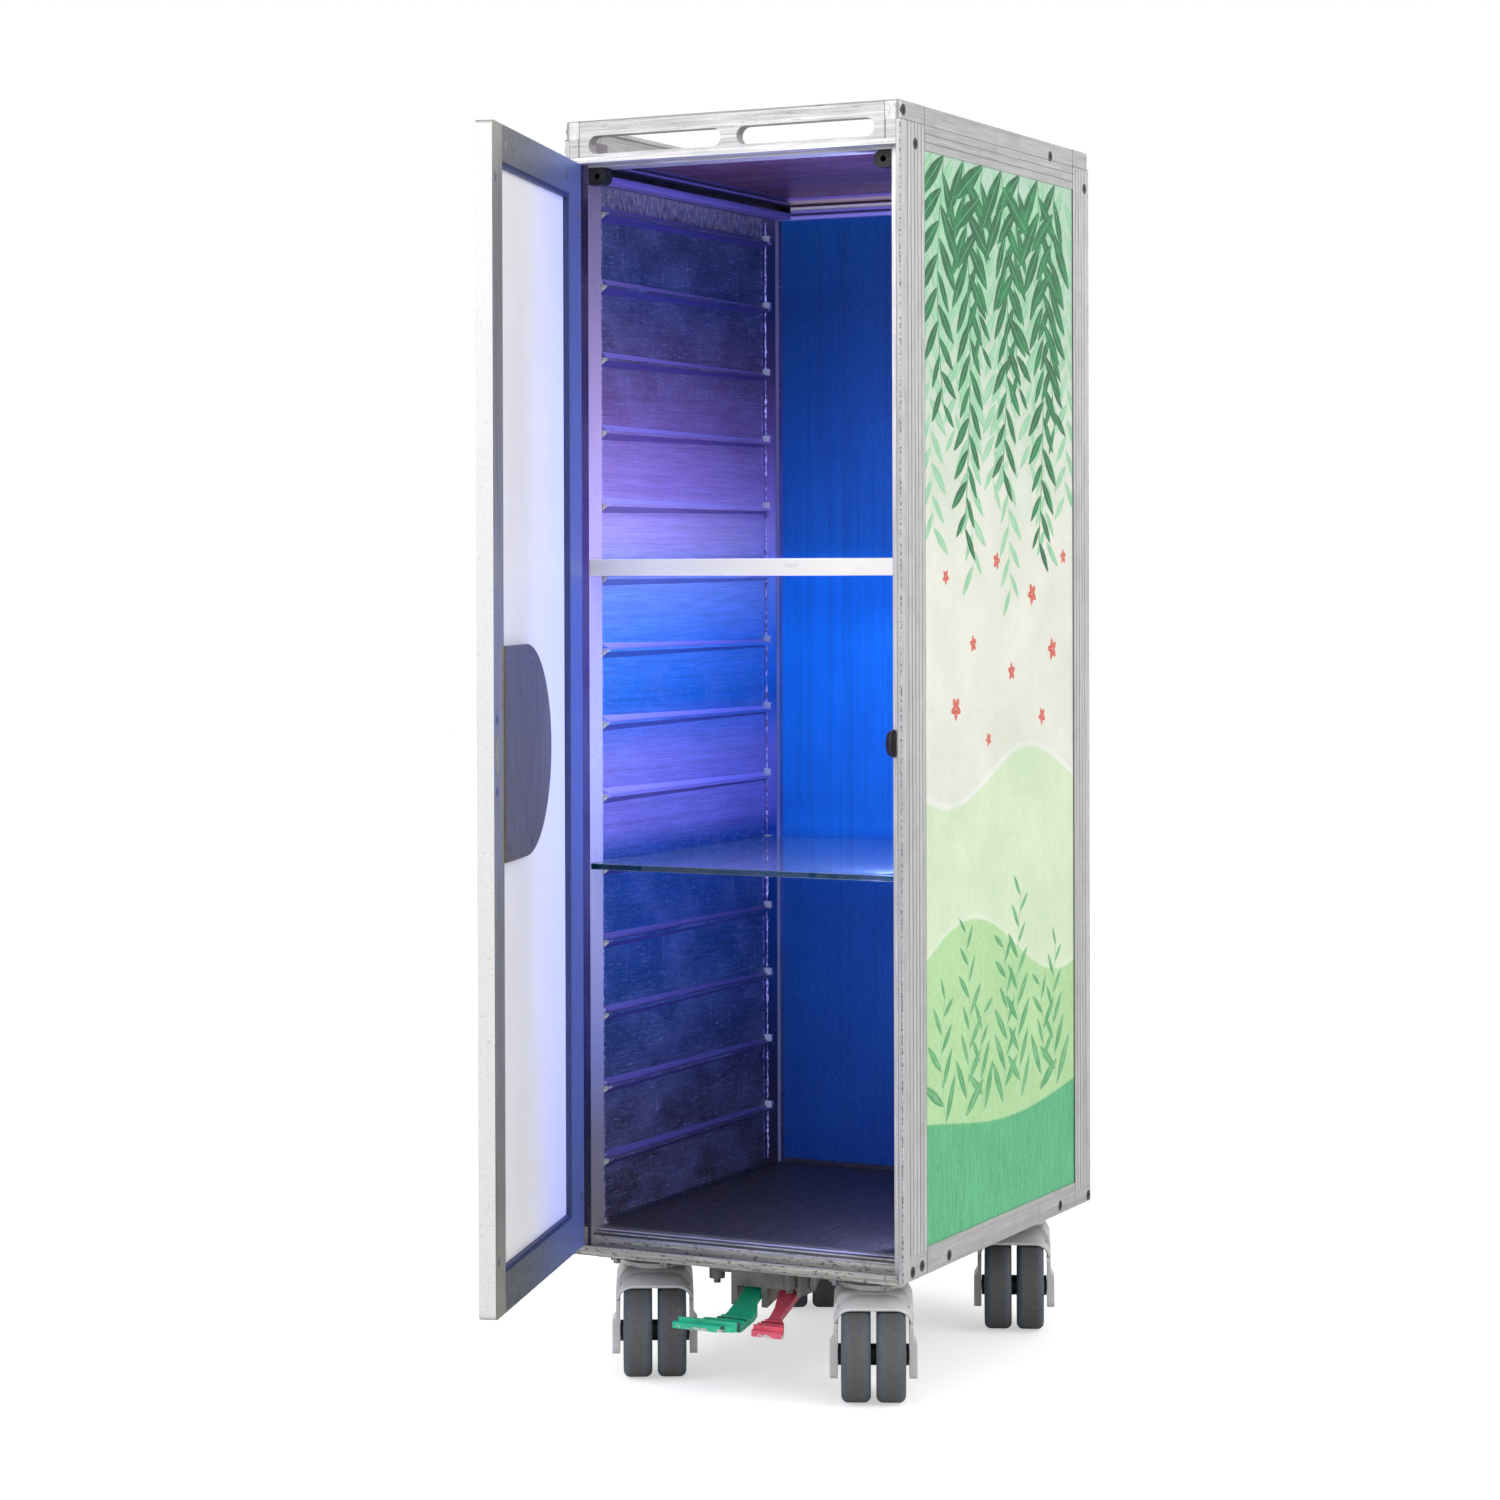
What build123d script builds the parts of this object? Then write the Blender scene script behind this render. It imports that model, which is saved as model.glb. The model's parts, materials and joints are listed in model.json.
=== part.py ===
from build123d import *
from math import cos, radians, sin
import os

# A half size galley trolley made over into a bar trolley, in millimetres.
# X runs across the front, Y from the door to the back and Z up.
# The origin is on the floor under the middle of the cabinet.

# Cabinet envelope
body_width = 302.0
body_depth = 405.0
body_top = 1030.0
wheel_radius = 37.5
caster_head = 23.5
skirt = 1.5
underside = 2 * wheel_radius + caster_head
body_bottom = underside + skirt
half_width = body_width / 2
half_depth = body_depth / 2
front = -half_depth
back = half_depth

# Walls and inner faces, measured in from the outer faces
flange_thickness = 4.0
wall_thickness = 10.0
post_thickness = 13.6
panel_recess = 1.1
skin_thickness = 1.6
flange_in = half_width - flange_thickness
wall_in = half_width - wall_thickness
core_half = half_width - post_thickness
panel_out = half_width - panel_recess

# Levels, each from the cabinet's top or bottom
floor_rise = 17.5
floor_kerb = 4.0
base_thickness = 4.0
deck_drop = 26.0
deck_thickness = 3.0
cap_height = 15.0
rail_height = 35.5
floor_top = body_bottom + floor_rise
deck_top = body_top - deck_drop
ceiling = deck_top - deck_thickness
cap_bottom = body_top - cap_height
rail_low_top = floor_top + floor_kerb
rail_high_bottom = body_top - rail_height
base_top = underside + base_thickness

# Posts
front_post_depth = 47.0
rear_post_depth = 37.1
front_post_back = front + front_post_depth
rear_post_front = back - rear_post_depth
step_depth = 11.5
back_panel_depth = 30.5
back_panel_in = back - back_panel_depth
chamber_wall = 2.5
groove_width = 0.9
groove_depth = 0.5
groove_pitch = 6.6
groove_count = 5

# Door, its opening and its pose
door_thickness = 13.0
door_side_gap = 5.0
door_foot_rise = 7.0
door_head_drop = 7.0
rebate_gap = 0.8
open_angle = 73.35
rebate = front + door_thickness + rebate_gap
door_edge = -half_width + door_side_gap
door_width = body_width - 2 * door_side_gap
door_bottom = body_bottom + door_foot_rise
door_top = ceiling - door_head_drop
door_height = door_top - door_bottom

# Hinge
pin_radius = 1.5
pin_clearance = 0.05
knuckle_radius = 3.0
pin_in = 0.5
pin_out = 1.5
hinge_end_low = 23.0
hinge_end_high = 24.0
pin_x = -half_width + pin_in
pin_y = front - pin_out
hinge_bottom = door_bottom + hinge_end_low
hinge_top = door_top - hinge_end_high
knuckle_count = 14
knuckle_gap = 0.4
leaf_thickness = 1.0
leaf_width = 14.0
tip_clearance = 0.6

# Runners and shelves
runner_count = 14
runner_first_rise = 53.5
runner_last_drop = 23.5
runner_set_back = 36.5
runner_stop_short = 65.5
rail_depth = 20.0
rail_foot = ceiling - rail_depth
runner_lowest = floor_top + runner_first_rise
runner_highest = rail_foot - runner_last_drop
runner_pitch = (runner_highest - runner_lowest) / (runner_count - 1)
runner_front = front + runner_set_back
runner_back = back - runner_stop_short
runner_reach = 7.0
runner_thickness = 2.2
sheet_thickness = 1.2
flare_length = 12.0
flare_half = 5.5
flare_thickness = 2.2
hook_height = 6.0
hook_length = 4.0
shelf_side_gap = 0.4
shelf_set_back = 15.0
shelf_stop_gap = 3.0
shelf_half = core_half - shelf_side_gap
shelf_front = front + shelf_set_back
shelf_back = runner_back - shelf_stop_gap
shelf_clearance = 0.3
board_thickness = 14.0
glass_thickness = 5.0
board_runner_count = 8
glass_runner_count = 4

# Casters
caster_side_inset = 51.0
caster_end_inset = 54.5
caster_x = half_width - caster_side_inset
caster_y = half_depth - caster_end_inset
trail = 36.0
tyre_width = 23.5
tyre_gap = 4.3
tyre_depth = 12.5
tyre_shoulder = 5.5
rim_radius = wheel_radius - tyre_depth
boss_radius = 8.5
fork_side_gap = 2.85
fork_cheek = 3.2
pad_thickness = 3.1
fork_inner = tyre_width + tyre_gap / 2 + fork_side_gap
fork_outer = fork_inner + fork_cheek
fork_pad = fork_outer + pad_thickness
axle_radius = 4.0
running_gap = 0.06

# Shared clearances
overrun = 2.0
part_gap = 0.3


def slab(x_span, y_span, z_span, mode=Mode.ADD):
    """Adds or cuts a straight block between three pairs of limits."""
    middle = ((x_span[0] + x_span[1]) / 2, (y_span[0] + y_span[1]) / 2)
    with BuildSketch(Plane.XY.offset(z_span[0])) as outline:
        with Locations(middle):
            Rectangle(x_span[1] - x_span[0], y_span[1] - y_span[0])
    extrude(outline.sketch, amount=z_span[1] - z_span[0], mode=mode)


def prism(points, plane, length, mode=Mode.ADD):
    """Adds or cuts a prism on a plane with its outline through the points."""
    with BuildSketch(plane) as outline:
        with BuildLine():
            Polyline(*points, close=True)
        make_face()
    extrude(outline.sketch, amount=length, mode=mode)


def rod(centre, radius, z_span, mode=Mode.ADD):
    """Adds or cuts an upright round rod."""
    with BuildSketch(Plane.XY.offset(z_span[0])) as outline:
        with Locations(centre):
            Circle(radius)
    extrude(outline.sketch, amount=z_span[1] - z_span[0], mode=mode)


def cross_rod(centre, radius, x_span, mode=Mode.ADD):
    """Adds or cuts a round rod that lies along X, centred at a place in Y and Z."""
    with BuildSketch(Plane.YZ.offset(x_span[0])) as outline:
        with Locations(centre):
            Circle(radius)
    extrude(outline.sketch, amount=x_span[1] - x_span[0], mode=mode)


def save(piece, name):
    """Labels a finished piece and writes it to its own file."""
    piece.part.label = name
    export_step(piece.part, f"parts/{name}.step")


os.makedirs("parts", exist_ok=True)


# Frame screws: countersunk heads in seats on both sides of the cabinet
screw_head = 4.5
screw_head_depth = 1.0
screw_seat_depth = 1.2
screw_shank = 2.0
screw_length = 7.0
screw_fit = 0.1
cross_width = 1.1
cross_length = 5.0
cap_screw_in = 6.0
cap_screw_down = 8.1
post_screw_in = 17.9
post_screw_down = 17.3
rear_screw_in = 9.3
block_screw_front_in = 18.6
block_screw_rear_in = 36.6
block_screw_up = 6.4
block_screw_step = 1.8
rear_block_screw_in = 5.5
rear_block_screw_up = 5.3
rail_screw_in = 52.8
rail_screw_down = 12.2
low_rail_screw_front_in = 43.5
low_rail_screw_rear_in = 35.5
low_rail_screw_up = 7.0
cap_screws = [(front + cap_screw_in, body_top - cap_screw_down)]
front_post_screws = [(front_post_back - post_screw_in, cap_bottom - post_screw_down)]
front_block_screws = [
    (front + block_screw_front_in, body_bottom + block_screw_up),
    (front + block_screw_rear_in, body_bottom + block_screw_up + block_screw_step),
]
top_rail_screws = [(rear_post_front - rail_screw_in, body_top - rail_screw_down)]
rear_post_screws = [(back - rear_screw_in, cap_bottom - post_screw_down)]
rear_block_screws = [(back - rear_block_screw_in, body_bottom + rear_block_screw_up)]
bottom_rail_screws = [
    (front_post_back + low_rail_screw_front_in, body_bottom + low_rail_screw_up),
    (rear_post_front - low_rail_screw_rear_in, body_bottom + low_rail_screw_up),
]


def screw_seats(places):
    """Cuts the seats and holes of side screws into the piece that carries them."""
    with BuildSketch(Plane.YZ.offset(half_width)) as seats:
        with Locations(*places):
            Circle(screw_head + screw_fit)
    extrude(seats.sketch, amount=-screw_seat_depth, mode=Mode.SUBTRACT)
    with BuildSketch(Plane.YZ.offset(half_width)) as holes:
        with Locations(*places):
            Circle(screw_shank + screw_fit)
    extrude(holes.sketch, amount=-screw_length - overrun, mode=Mode.SUBTRACT)


# Front posts: a flange beside the door, a rebate face behind it and a closed chamber
block_front = rebate
front_block_height = 19.0
rear_block_depth = 34.5
rear_block_height = 15.0
front_block_top = body_bottom + front_block_height
rear_block_front = back - rear_block_depth
rear_block_top = body_bottom + rear_block_height
led_groove_depth = 2.5
led_groove_in = 4.7
led_groove_width = 12.0
led_groove_front = rebate + led_groove_in
led_groove_back = led_groove_front + led_groove_width
led_end_low = 28.5
led_end_high = 41.0
led_bottom = rail_low_top + led_end_low
led_top = ceiling - led_end_high
step_front = front_post_back - step_depth

with BuildPart() as front_post_right:
    prism(
        [
            (flange_in, front),
            (half_width, front),
            (half_width, front_post_back),
            (core_half, front_post_back),
            (core_half, rebate),
            (flange_in, rebate),
        ],
        Plane.XY.offset(body_bottom),
        cap_bottom - body_bottom,
    )
    slab(
        (core_half - overrun, wall_in),
        (step_front, front_post_back + overrun),
        (floor_top, ceiling),
        Mode.SUBTRACT,
    )
    slab(
        (wall_in + chamber_wall, half_width - chamber_wall),
        (rebate + chamber_wall, front_post_back - chamber_wall),
        (body_bottom, cap_bottom),
        Mode.SUBTRACT,
    )
    slab(
        (wall_in, half_width + overrun),
        (block_front, front_post_back + overrun),
        (body_bottom - overrun, front_block_top),
        Mode.SUBTRACT,
    )
    for i in range(groove_count):
        groove = front_post_back - groove_pitch * (i + 1)
        slab(
            (half_width - groove_depth, half_width + overrun),
            (groove - groove_width / 2, groove + groove_width / 2),
            (body_bottom, cap_bottom),
            Mode.SUBTRACT,
        )
    screw_seats(front_post_screws)

# The left front post is its mirror image, cut back at the flange's tip for the hinge
with BuildPart() as front_post_left:
    mirror(front_post_right.part, about=Plane.YZ)
    slab(
        (-half_width - overrun, -flange_in + overrun),
        (front - overrun, pin_y + knuckle_radius + tip_clearance),
        (hinge_bottom, hinge_top),
        Mode.SUBTRACT,
    )
    slab(
        (-half_width - overrun, -half_width + leaf_thickness),
        (front - overrun, front + leaf_width),
        (hinge_bottom, hinge_top),
        Mode.SUBTRACT,
    )

# The right front post's inner face is grooved for the light strip
with BuildPart() as front_post_right_lit:
    add(front_post_right.part)
    slab(
        (core_half - overrun, core_half + led_groove_depth),
        (led_groove_front, led_groove_back),
        (led_bottom, led_top),
        Mode.SUBTRACT,
    )

# Rear posts: the same section without a rebate
with BuildPart() as rear_post_right:
    slab((core_half, half_width), (rear_post_front, back), (body_bottom, cap_bottom))
    slab(
        (core_half - overrun, wall_in),
        (rear_post_front - overrun, back_panel_in),
        (floor_top, ceiling),
        Mode.SUBTRACT,
    )
    slab(
        (wall_in + chamber_wall, half_width - chamber_wall),
        (rear_post_front + chamber_wall, back - chamber_wall),
        (body_bottom, cap_bottom),
        Mode.SUBTRACT,
    )
    slab(
        (wall_in, half_width + overrun),
        (rear_block_front, back + overrun),
        (body_bottom - overrun, rear_block_top),
        Mode.SUBTRACT,
    )
    for i in range(groove_count - 1):
        groove = rear_post_front + groove_pitch * (i + 1)
        slab(
            (half_width - groove_depth, half_width + overrun),
            (groove - groove_width / 2, groove + groove_width / 2),
            (body_bottom, cap_bottom),
            Mode.SUBTRACT,
        )
    screw_seats(rear_post_screws)

with BuildPart() as rear_post_left:
    mirror(rear_post_right.part, about=Plane.YZ)

save(front_post_right_lit, "front_post_right")
save(front_post_left, "front_post_left")
save(rear_post_right, "rear_post_right")
save(rear_post_left, "rear_post_left")

# Top side rails: a tall web with a bead on top and an inner foot under the deck
rail_length = rear_post_front - front_post_back
rail_plane = Plane.XZ.offset(-rear_post_front)
bead_width = 6.0
bead_height = 4.0
bead_round = 2.5

with BuildPart() as top_side_rails:
    prism(
        [
            (half_width, rail_high_bottom),
            (half_width, body_top),
            (half_width - bead_width, body_top),
            (half_width - bead_width, body_top - bead_height),
            (flange_in, body_top - bead_height),
            (flange_in, deck_top),
            (core_half, deck_top),
            (core_half, ceiling),
            (wall_in, ceiling),
            (wall_in, rail_high_bottom),
        ],
        rail_plane,
        rail_length,
    )
    for i in range(groove_count - 2):
        groove = rail_high_bottom + groove_pitch * (i + 1)
        slab(
            (half_width - groove_depth, half_width + overrun),
            (front_post_back, rear_post_front),
            (groove - groove_width / 2, groove + groove_width / 2),
            Mode.SUBTRACT,
        )
    bead_edges = top_side_rails.edges().filter_by(Axis.Y).group_by(Axis.Z)[-1]
    fillet(bead_edges, bead_round)
    screw_seats(top_rail_screws)
    mirror(about=Plane.YZ)
save(top_side_rails, "top_side_rails")

# Bottom side rails: an angle that carries the side panel and the floor
with BuildPart() as bottom_side_rails:
    prism(
        [
            (core_half, body_bottom),
            (half_width, body_bottom),
            (half_width, rail_low_top),
            (wall_in, rail_low_top),
            (wall_in, floor_top),
            (core_half, floor_top),
        ],
        rail_plane,
        rail_length,
    )
    screw_seats(bottom_rail_screws)
    mirror(about=Plane.YZ)
save(bottom_side_rails, "bottom_side_rails")

# Corner pieces: rounded caps on top and plain blocks at the bottom
cap_width = 13.0
cap_arm = 7.0
handle_thickness = 11.5
cap_round = 4.0
cap_edge_round = 2.0
handle_back = front + handle_thickness
rear_handle_front = back - handle_thickness


def corner_cap(inner_y, handle_y, outer_y, screws):
    """One cap on a right post, with an arm along the handle bar and one along the rail."""
    with BuildPart() as cap:
        slab(
            (half_width - cap_width, half_width),
            sorted((handle_y, outer_y)),
            (cap_bottom, body_top),
        )
        slab(
            (half_width - cap_arm, half_width),
            sorted((inner_y, handle_y)),
            (cap_bottom, body_top),
        )
        corner = cap.edges().filter_by(Axis.Z).filter_by_position(
            Axis.X, half_width - part_gap, half_width + part_gap
        )
        fillet(corner.filter_by_position(Axis.Y, outer_y - part_gap, outer_y + part_gap), cap_round)
        rim = cap.faces().filter_by(Axis.Z).sort_by(Axis.Z)[-1].edges()
        fillet(rim.filter_by(lambda edge: abs(edge.center().X - half_width) < cap_round), cap_edge_round)
        if screws:
            screw_seats(screws)
    return cap.part


with BuildPart() as corner_caps:
    add(corner_cap(front_post_back, handle_back, front, cap_screws))
    add(corner_cap(rear_post_front, rear_handle_front, back, []))
    mirror(about=Plane.YZ)
save(corner_caps, "corner_caps")

with BuildPart() as corner_blocks:
    slab((wall_in, half_width), (block_front, front_post_back), (body_bottom, front_block_top))
    slab((wall_in, half_width), (rear_block_front, back), (body_bottom, rear_block_top))
    screw_seats(front_block_screws + rear_block_screws)
    mirror(about=Plane.YZ)
save(corner_blocks, "corner_blocks")

# Handle bars: two oval grips in each, front and back
oval_drop = 28.0
oval_height = 15.0
oval_margin = 22.0
oval_web = 14.0
handle_drop = 30.4
handle_round = 2.5
oval_bottom = body_top - oval_drop
oval_outer = half_width - oval_margin
handle_bottom = body_top - handle_drop
oval_length = oval_outer - oval_web / 2
oval_centre = (oval_outer + oval_web / 2) / 2


def grip_ovals(plane):
    """Cuts the two oval grips right through a handle bar."""
    with BuildSketch(plane) as ovals:
        with Locations(
            (-oval_centre, oval_bottom + oval_height / 2),
            (oval_centre, oval_bottom + oval_height / 2),
        ):
            SlotOverall(oval_length, oval_height)
    extrude(ovals.sketch, amount=handle_thickness + overrun, both=True, mode=Mode.SUBTRACT)


with BuildPart() as front_handle_bar:
    slab((-flange_in, flange_in), (front, handle_back), (handle_bottom, cap_bottom))
    slab(
        (-half_width + cap_width, half_width - cap_width),
        (front, handle_back),
        (cap_bottom, body_top),
    )
    grip_ovals(Plane.XZ.offset(-front))
    fillet(front_handle_bar.edges().filter_by(Axis.X).group_by(Axis.Z)[-1], handle_round)
save(front_handle_bar, "front_handle_bar")

with BuildPart() as rear_handle_bar:
    slab((-core_half, core_half), (rear_handle_front, back), (ceiling, body_top))
    grip_ovals(Plane.XZ.offset(-back))
    fillet(rear_handle_bar.edges().filter_by(Axis.X).group_by(Axis.Z)[-1], handle_round)
save(rear_handle_bar, "rear_handle_bar")

# Door header: the stop behind the door's top edge, with a lip over the door
header_depth = 36.5
header_drop = 8.0
lip_gap = 1.2
header_back = front + header_depth
header_bottom = ceiling - header_drop

with BuildPart() as door_header:
    slab((-core_half, core_half), (rebate, header_back), (header_bottom, deck_top))
    slab((-flange_in, flange_in), (front, rebate), (door_top + lip_gap, handle_bottom))
save(door_header, "door_header")

# Door sill: a stepped hollow bar across the bottom of the opening
sill_depth = 36.5
sill_lip = 2.5
sill_door_gap = 1.0
sill_lip_height = 2.0
sill_stop_drop = 6.5
sill_ramp_drop = 2.5
sill_stop_depth = 2.7
sill_slope_depth = 17.0
sill_tread_depth = 10.0
sill_edge_depth = 6.0
sill_back = front + sill_depth
sill_lip_top = door_bottom - sill_door_gap
sill_ledge = sill_lip_top - sill_lip_height
sill_stop = floor_top - sill_stop_drop
sill_ramp = floor_top - sill_ramp_drop
sill_ramp_start = sill_back - sill_slope_depth
sill_ramp_end = sill_back - sill_tread_depth
sill_floor_edge = sill_back - sill_edge_depth

with BuildPart() as door_sill:
    prism(
        [
            (rebate, underside),
            (rebate, sill_stop),
            (rebate + sill_stop_depth, sill_stop),
            (sill_ramp_start, sill_ramp),
            (sill_ramp_end, sill_ramp),
            (sill_floor_edge, floor_top),
            (sill_back, floor_top),
            (sill_back, underside),
        ],
        Plane.YZ.offset(-core_half),
        2 * core_half,
    )
    prism(
        [
            (front, underside),
            (front, sill_lip_top),
            (front + sill_lip, sill_lip_top),
            (front + sill_lip, sill_ledge),
            (rebate, sill_ledge),
            (rebate, underside),
        ],
        Plane.YZ.offset(-flange_in),
        2 * flange_in,
    )
    slab(
        (-core_half - overrun, core_half + overrun),
        (rebate + sill_stop_depth, sill_back - chamber_wall),
        (underside + chamber_wall, sill_stop - chamber_wall),
        Mode.SUBTRACT,
    )
save(door_sill, "door_sill")

# Rear sill: an open channel under the back panel
with BuildPart() as rear_sill:
    slab((-core_half, core_half), (back_panel_in, back), (underside, rail_low_top))
    slab(
        (-core_half - overrun, core_half + overrun),
        (back_panel_in + chamber_wall, back - chamber_wall),
        (underside - overrun, rail_low_top - chamber_wall),
        Mode.SUBTRACT,
    )
save(rear_sill, "rear_sill")

# The deck is a flat sheet. The floor, back and sides are hollow panels, open at their hidden ends
back_panel_recess = 2.5

with BuildPart() as top_deck:
    slab((-core_half, core_half), (header_back, rear_handle_front), (ceiling, deck_top))
save(top_deck, "top_deck")

with BuildPart() as floor_panel:
    slab((-core_half, core_half), (sill_back, back_panel_in), (base_top, floor_top))
    slab(
        (-core_half + skin_thickness, core_half - skin_thickness),
        (sill_back - overrun, back_panel_in + overrun),
        (base_top + skin_thickness, floor_top - skin_thickness),
        Mode.SUBTRACT,
    )
save(floor_panel, "floor_panel")

with BuildPart() as back_panel:
    slab((-core_half, core_half), (back_panel_in, back - back_panel_recess), (rail_low_top, ceiling))
    slab(
        (-core_half + skin_thickness, core_half - skin_thickness),
        (back_panel_in + skin_thickness, back - back_panel_recess - skin_thickness),
        (rail_low_top - overrun, ceiling + overrun),
        Mode.SUBTRACT,
    )
save(back_panel, "back_panel")

with BuildPart() as side_panel_right:
    slab((wall_in, panel_out), (front_post_back, rear_post_front), (rail_low_top, rail_high_bottom))
    slab(
        (wall_in + skin_thickness, panel_out - skin_thickness),
        (front_post_back + skin_thickness, rear_post_front - skin_thickness),
        (rail_low_top - overrun, rail_high_bottom + overrun),
        Mode.SUBTRACT,
    )
with BuildPart() as side_panel_left:
    mirror(side_panel_right.part, about=Plane.YZ)
save(side_panel_right, "side_panel_right")
save(side_panel_left, "side_panel_left")

# Base plate under the floor, which carries the casters and the brake unit
with BuildPart() as base_plate:
    slab((-core_half, core_half), (sill_back, back_panel_in), (underside, base_top))
save(base_plate, "base_plate")

# Runner panels: a sheet on each wall with a ledge at every level
runner_rise = runner_thickness / 2
sheet_in = wall_in - sheet_thickness
ledge_in = sheet_in - runner_reach
flare_in = sheet_in - flare_thickness

with BuildPart() as runner_panel_right:
    slab((sheet_in, wall_in), (runner_front, runner_back), (rail_low_top, rail_foot - part_gap))
    for i in range(runner_count):
        level = runner_lowest + runner_pitch * i
        slab(
            (ledge_in, sheet_in),
            (runner_front, runner_back + hook_length),
            (level - runner_rise, level + runner_rise),
        )
        slab(
            (ledge_in, wall_in),
            (runner_back, runner_back + hook_length),
            (level + runner_rise, level + runner_rise + hook_height),
        )
        prism(
            [
                (runner_front, level - flare_half),
                (runner_front, level + flare_half),
                (runner_front + flare_length, level + runner_rise),
                (runner_front + flare_length, level - runner_rise),
            ],
            Plane.YZ.offset(flare_in),
            flare_thickness,
        )
with BuildPart() as runner_panel_left:
    mirror(runner_panel_right.part, about=Plane.YZ)
save(runner_panel_right, "runner_panel_right")
save(runner_panel_left, "runner_panel_left")

# Ceiling trim: a slotted light rail along each side and a grooved bar at the back
rail_nose = 10.0
rail_width = 13.4
slot_rise = 6.0
slot_height = 7.0
slot_depth = 7.0
lip_step = 4.0
rear_bar_depth = 7.0
rear_bar_groove = 1.4
rear_bar_line_shares = (0.175, 0.425, 0.7)
rail_front = header_back - rail_nose
rail_back = back_panel_in
rail_in = core_half - rail_width
slot_low = rail_foot + slot_rise
slot_high = slot_low + slot_height

with BuildPart() as ceiling_rails:
    slab((rail_in, core_half), (rail_front, rail_back), (rail_foot, ceiling))
    slab(
        (rail_in - overrun, rail_in + slot_depth),
        (rail_front + lip_step, rail_back - rear_bar_depth - lip_step),
        (slot_low, slot_high),
        Mode.SUBTRACT,
    )
    slab(
        (rail_in - overrun, rail_in + lip_step),
        (rail_front - overrun, rail_back - rear_bar_depth),
        (slot_high + lip_step / 2, ceiling + overrun),
        Mode.SUBTRACT,
    )
    slab(
        (rail_in - overrun, core_half + overrun),
        (rail_front - overrun, header_back),
        (header_bottom - part_gap, ceiling + overrun),
        Mode.SUBTRACT,
    )
    mirror(about=Plane.YZ)
    slab((-rail_in, rail_in), (rail_back - rear_bar_depth, rail_back), (rail_foot, ceiling))
    for line_share in rear_bar_line_shares:
        line = rail_foot + rail_depth * line_share
        slab(
            (-rail_in, rail_in),
            (rail_back - rear_bar_depth - overrun, rail_back - rear_bar_depth + rear_bar_groove),
            (line - rear_bar_groove / 2, line + rear_bar_groove / 2),
            Mode.SUBTRACT,
        )
save(ceiling_rails, "ceiling_rails")

# Rounded black end pieces at the front of the light rails
end_width = 15.9
end_depth = 11.5
end_foot_drop = 2.0
end_head_gap = 0.5
end_round = 5.0
end_hole = 2.5
end_in = core_half - end_width
end_front = rail_front - end_depth
end_bottom = rail_foot - end_foot_drop
end_top = header_bottom - end_head_gap

with BuildPart() as light_rail_ends:
    with BuildSketch(Plane.XZ.offset(-rail_front)) as end_outline:
        with Locations(((end_in + core_half) / 2, (end_bottom + end_top) / 2)):
            Rectangle(core_half - end_in, end_top - end_bottom)
        fillet(end_outline.vertices().group_by(Axis.X)[0], end_round)
        with Locations(((end_in + core_half) / 2, (end_bottom + end_top) / 2)):
            Circle(end_hole, mode=Mode.SUBTRACT)
    extrude(amount=rail_front - end_front)
    mirror(about=Plane.YZ)
save(light_rail_ends, "light_rail_ends")

# Light strip let into the right front post, facing across the cabinet
strip_inset = 0.5
with BuildPart() as led_strip:
    slab(
        (core_half + strip_inset, core_half + led_groove_depth),
        (led_groove_front + strip_inset, led_groove_back - strip_inset),
        (led_bottom + strip_inset, led_top - strip_inset),
    )
save(led_strip, "led_strip")

# Frame screws in all the seats
frame_screw_places = (
    cap_screws
    + front_post_screws
    + front_block_screws
    + top_rail_screws
    + rear_post_screws
    + rear_block_screws
    + bottom_rail_screws
)
seat_face = half_width - screw_seat_depth
with BuildPart() as frame_screws:
    with BuildSketch(Plane.YZ.offset(seat_face)):
        with Locations(*frame_screw_places):
            Circle(screw_head)
    extrude(amount=screw_head_depth)
    with BuildSketch(Plane.YZ.offset(seat_face)):
        with Locations(*frame_screw_places):
            Circle(screw_shank)
    extrude(amount=screw_seat_depth - screw_length)
    with BuildSketch(Plane.YZ.offset(seat_face + screw_head_depth)):
        with Locations(*frame_screw_places):
            Rectangle(cross_width, cross_length)
            Rectangle(cross_length, cross_width)
    extrude(amount=-screw_head_depth / 2, mode=Mode.SUBTRACT)
    mirror(about=Plane.YZ)
save(frame_screws, "frame_screws")

# Door frame of reference: x from the hinge edge to the free edge, y up, depth inwards
turn = radians(-open_angle)
hinge_offset = (door_edge - pin_x, front - pin_y)
door_origin = (
    pin_x + hinge_offset[0] * cos(turn) - hinge_offset[1] * sin(turn),
    pin_y + hinge_offset[0] * sin(turn) + hinge_offset[1] * cos(turn),
    0,
)
door_frame = Plane(
    origin=door_origin,
    x_dir=(cos(turn), sin(turn), 0),
    z_dir=(sin(turn), -cos(turn), 0),
)
hinge_stile = 42.0
latch_stile = 30.0
rail_top_height = 28.0
rail_bottom_height = 30.0
door_corner = 5.0
stile_in = door_width - latch_stile
window_low = door_bottom + rail_bottom_height
window_high = door_top - rail_top_height


def door_slab(w_span, z_span, depth_span, mode=Mode.ADD):
    """Adds or cuts a block given in the door's own width, height and depth."""
    middle = ((w_span[0] + w_span[1]) / 2, (z_span[0] + z_span[1]) / 2)
    with BuildSketch(door_frame.offset(-depth_span[1])) as outline:
        with Locations(middle):
            Rectangle(w_span[1] - w_span[0], z_span[1] - z_span[0])
    extrude(outline.sketch, amount=depth_span[1] - depth_span[0], mode=mode)


def door_disc(places, radius, depth_span, mode=Mode.ADD):
    """Adds or cuts round discs square to the door's faces."""
    with BuildSketch(door_frame.offset(-depth_span[1])) as outline:
        with Locations(*places):
            Circle(radius)
    extrude(outline.sketch, amount=depth_span[1] - depth_span[0], mode=mode)


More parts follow.
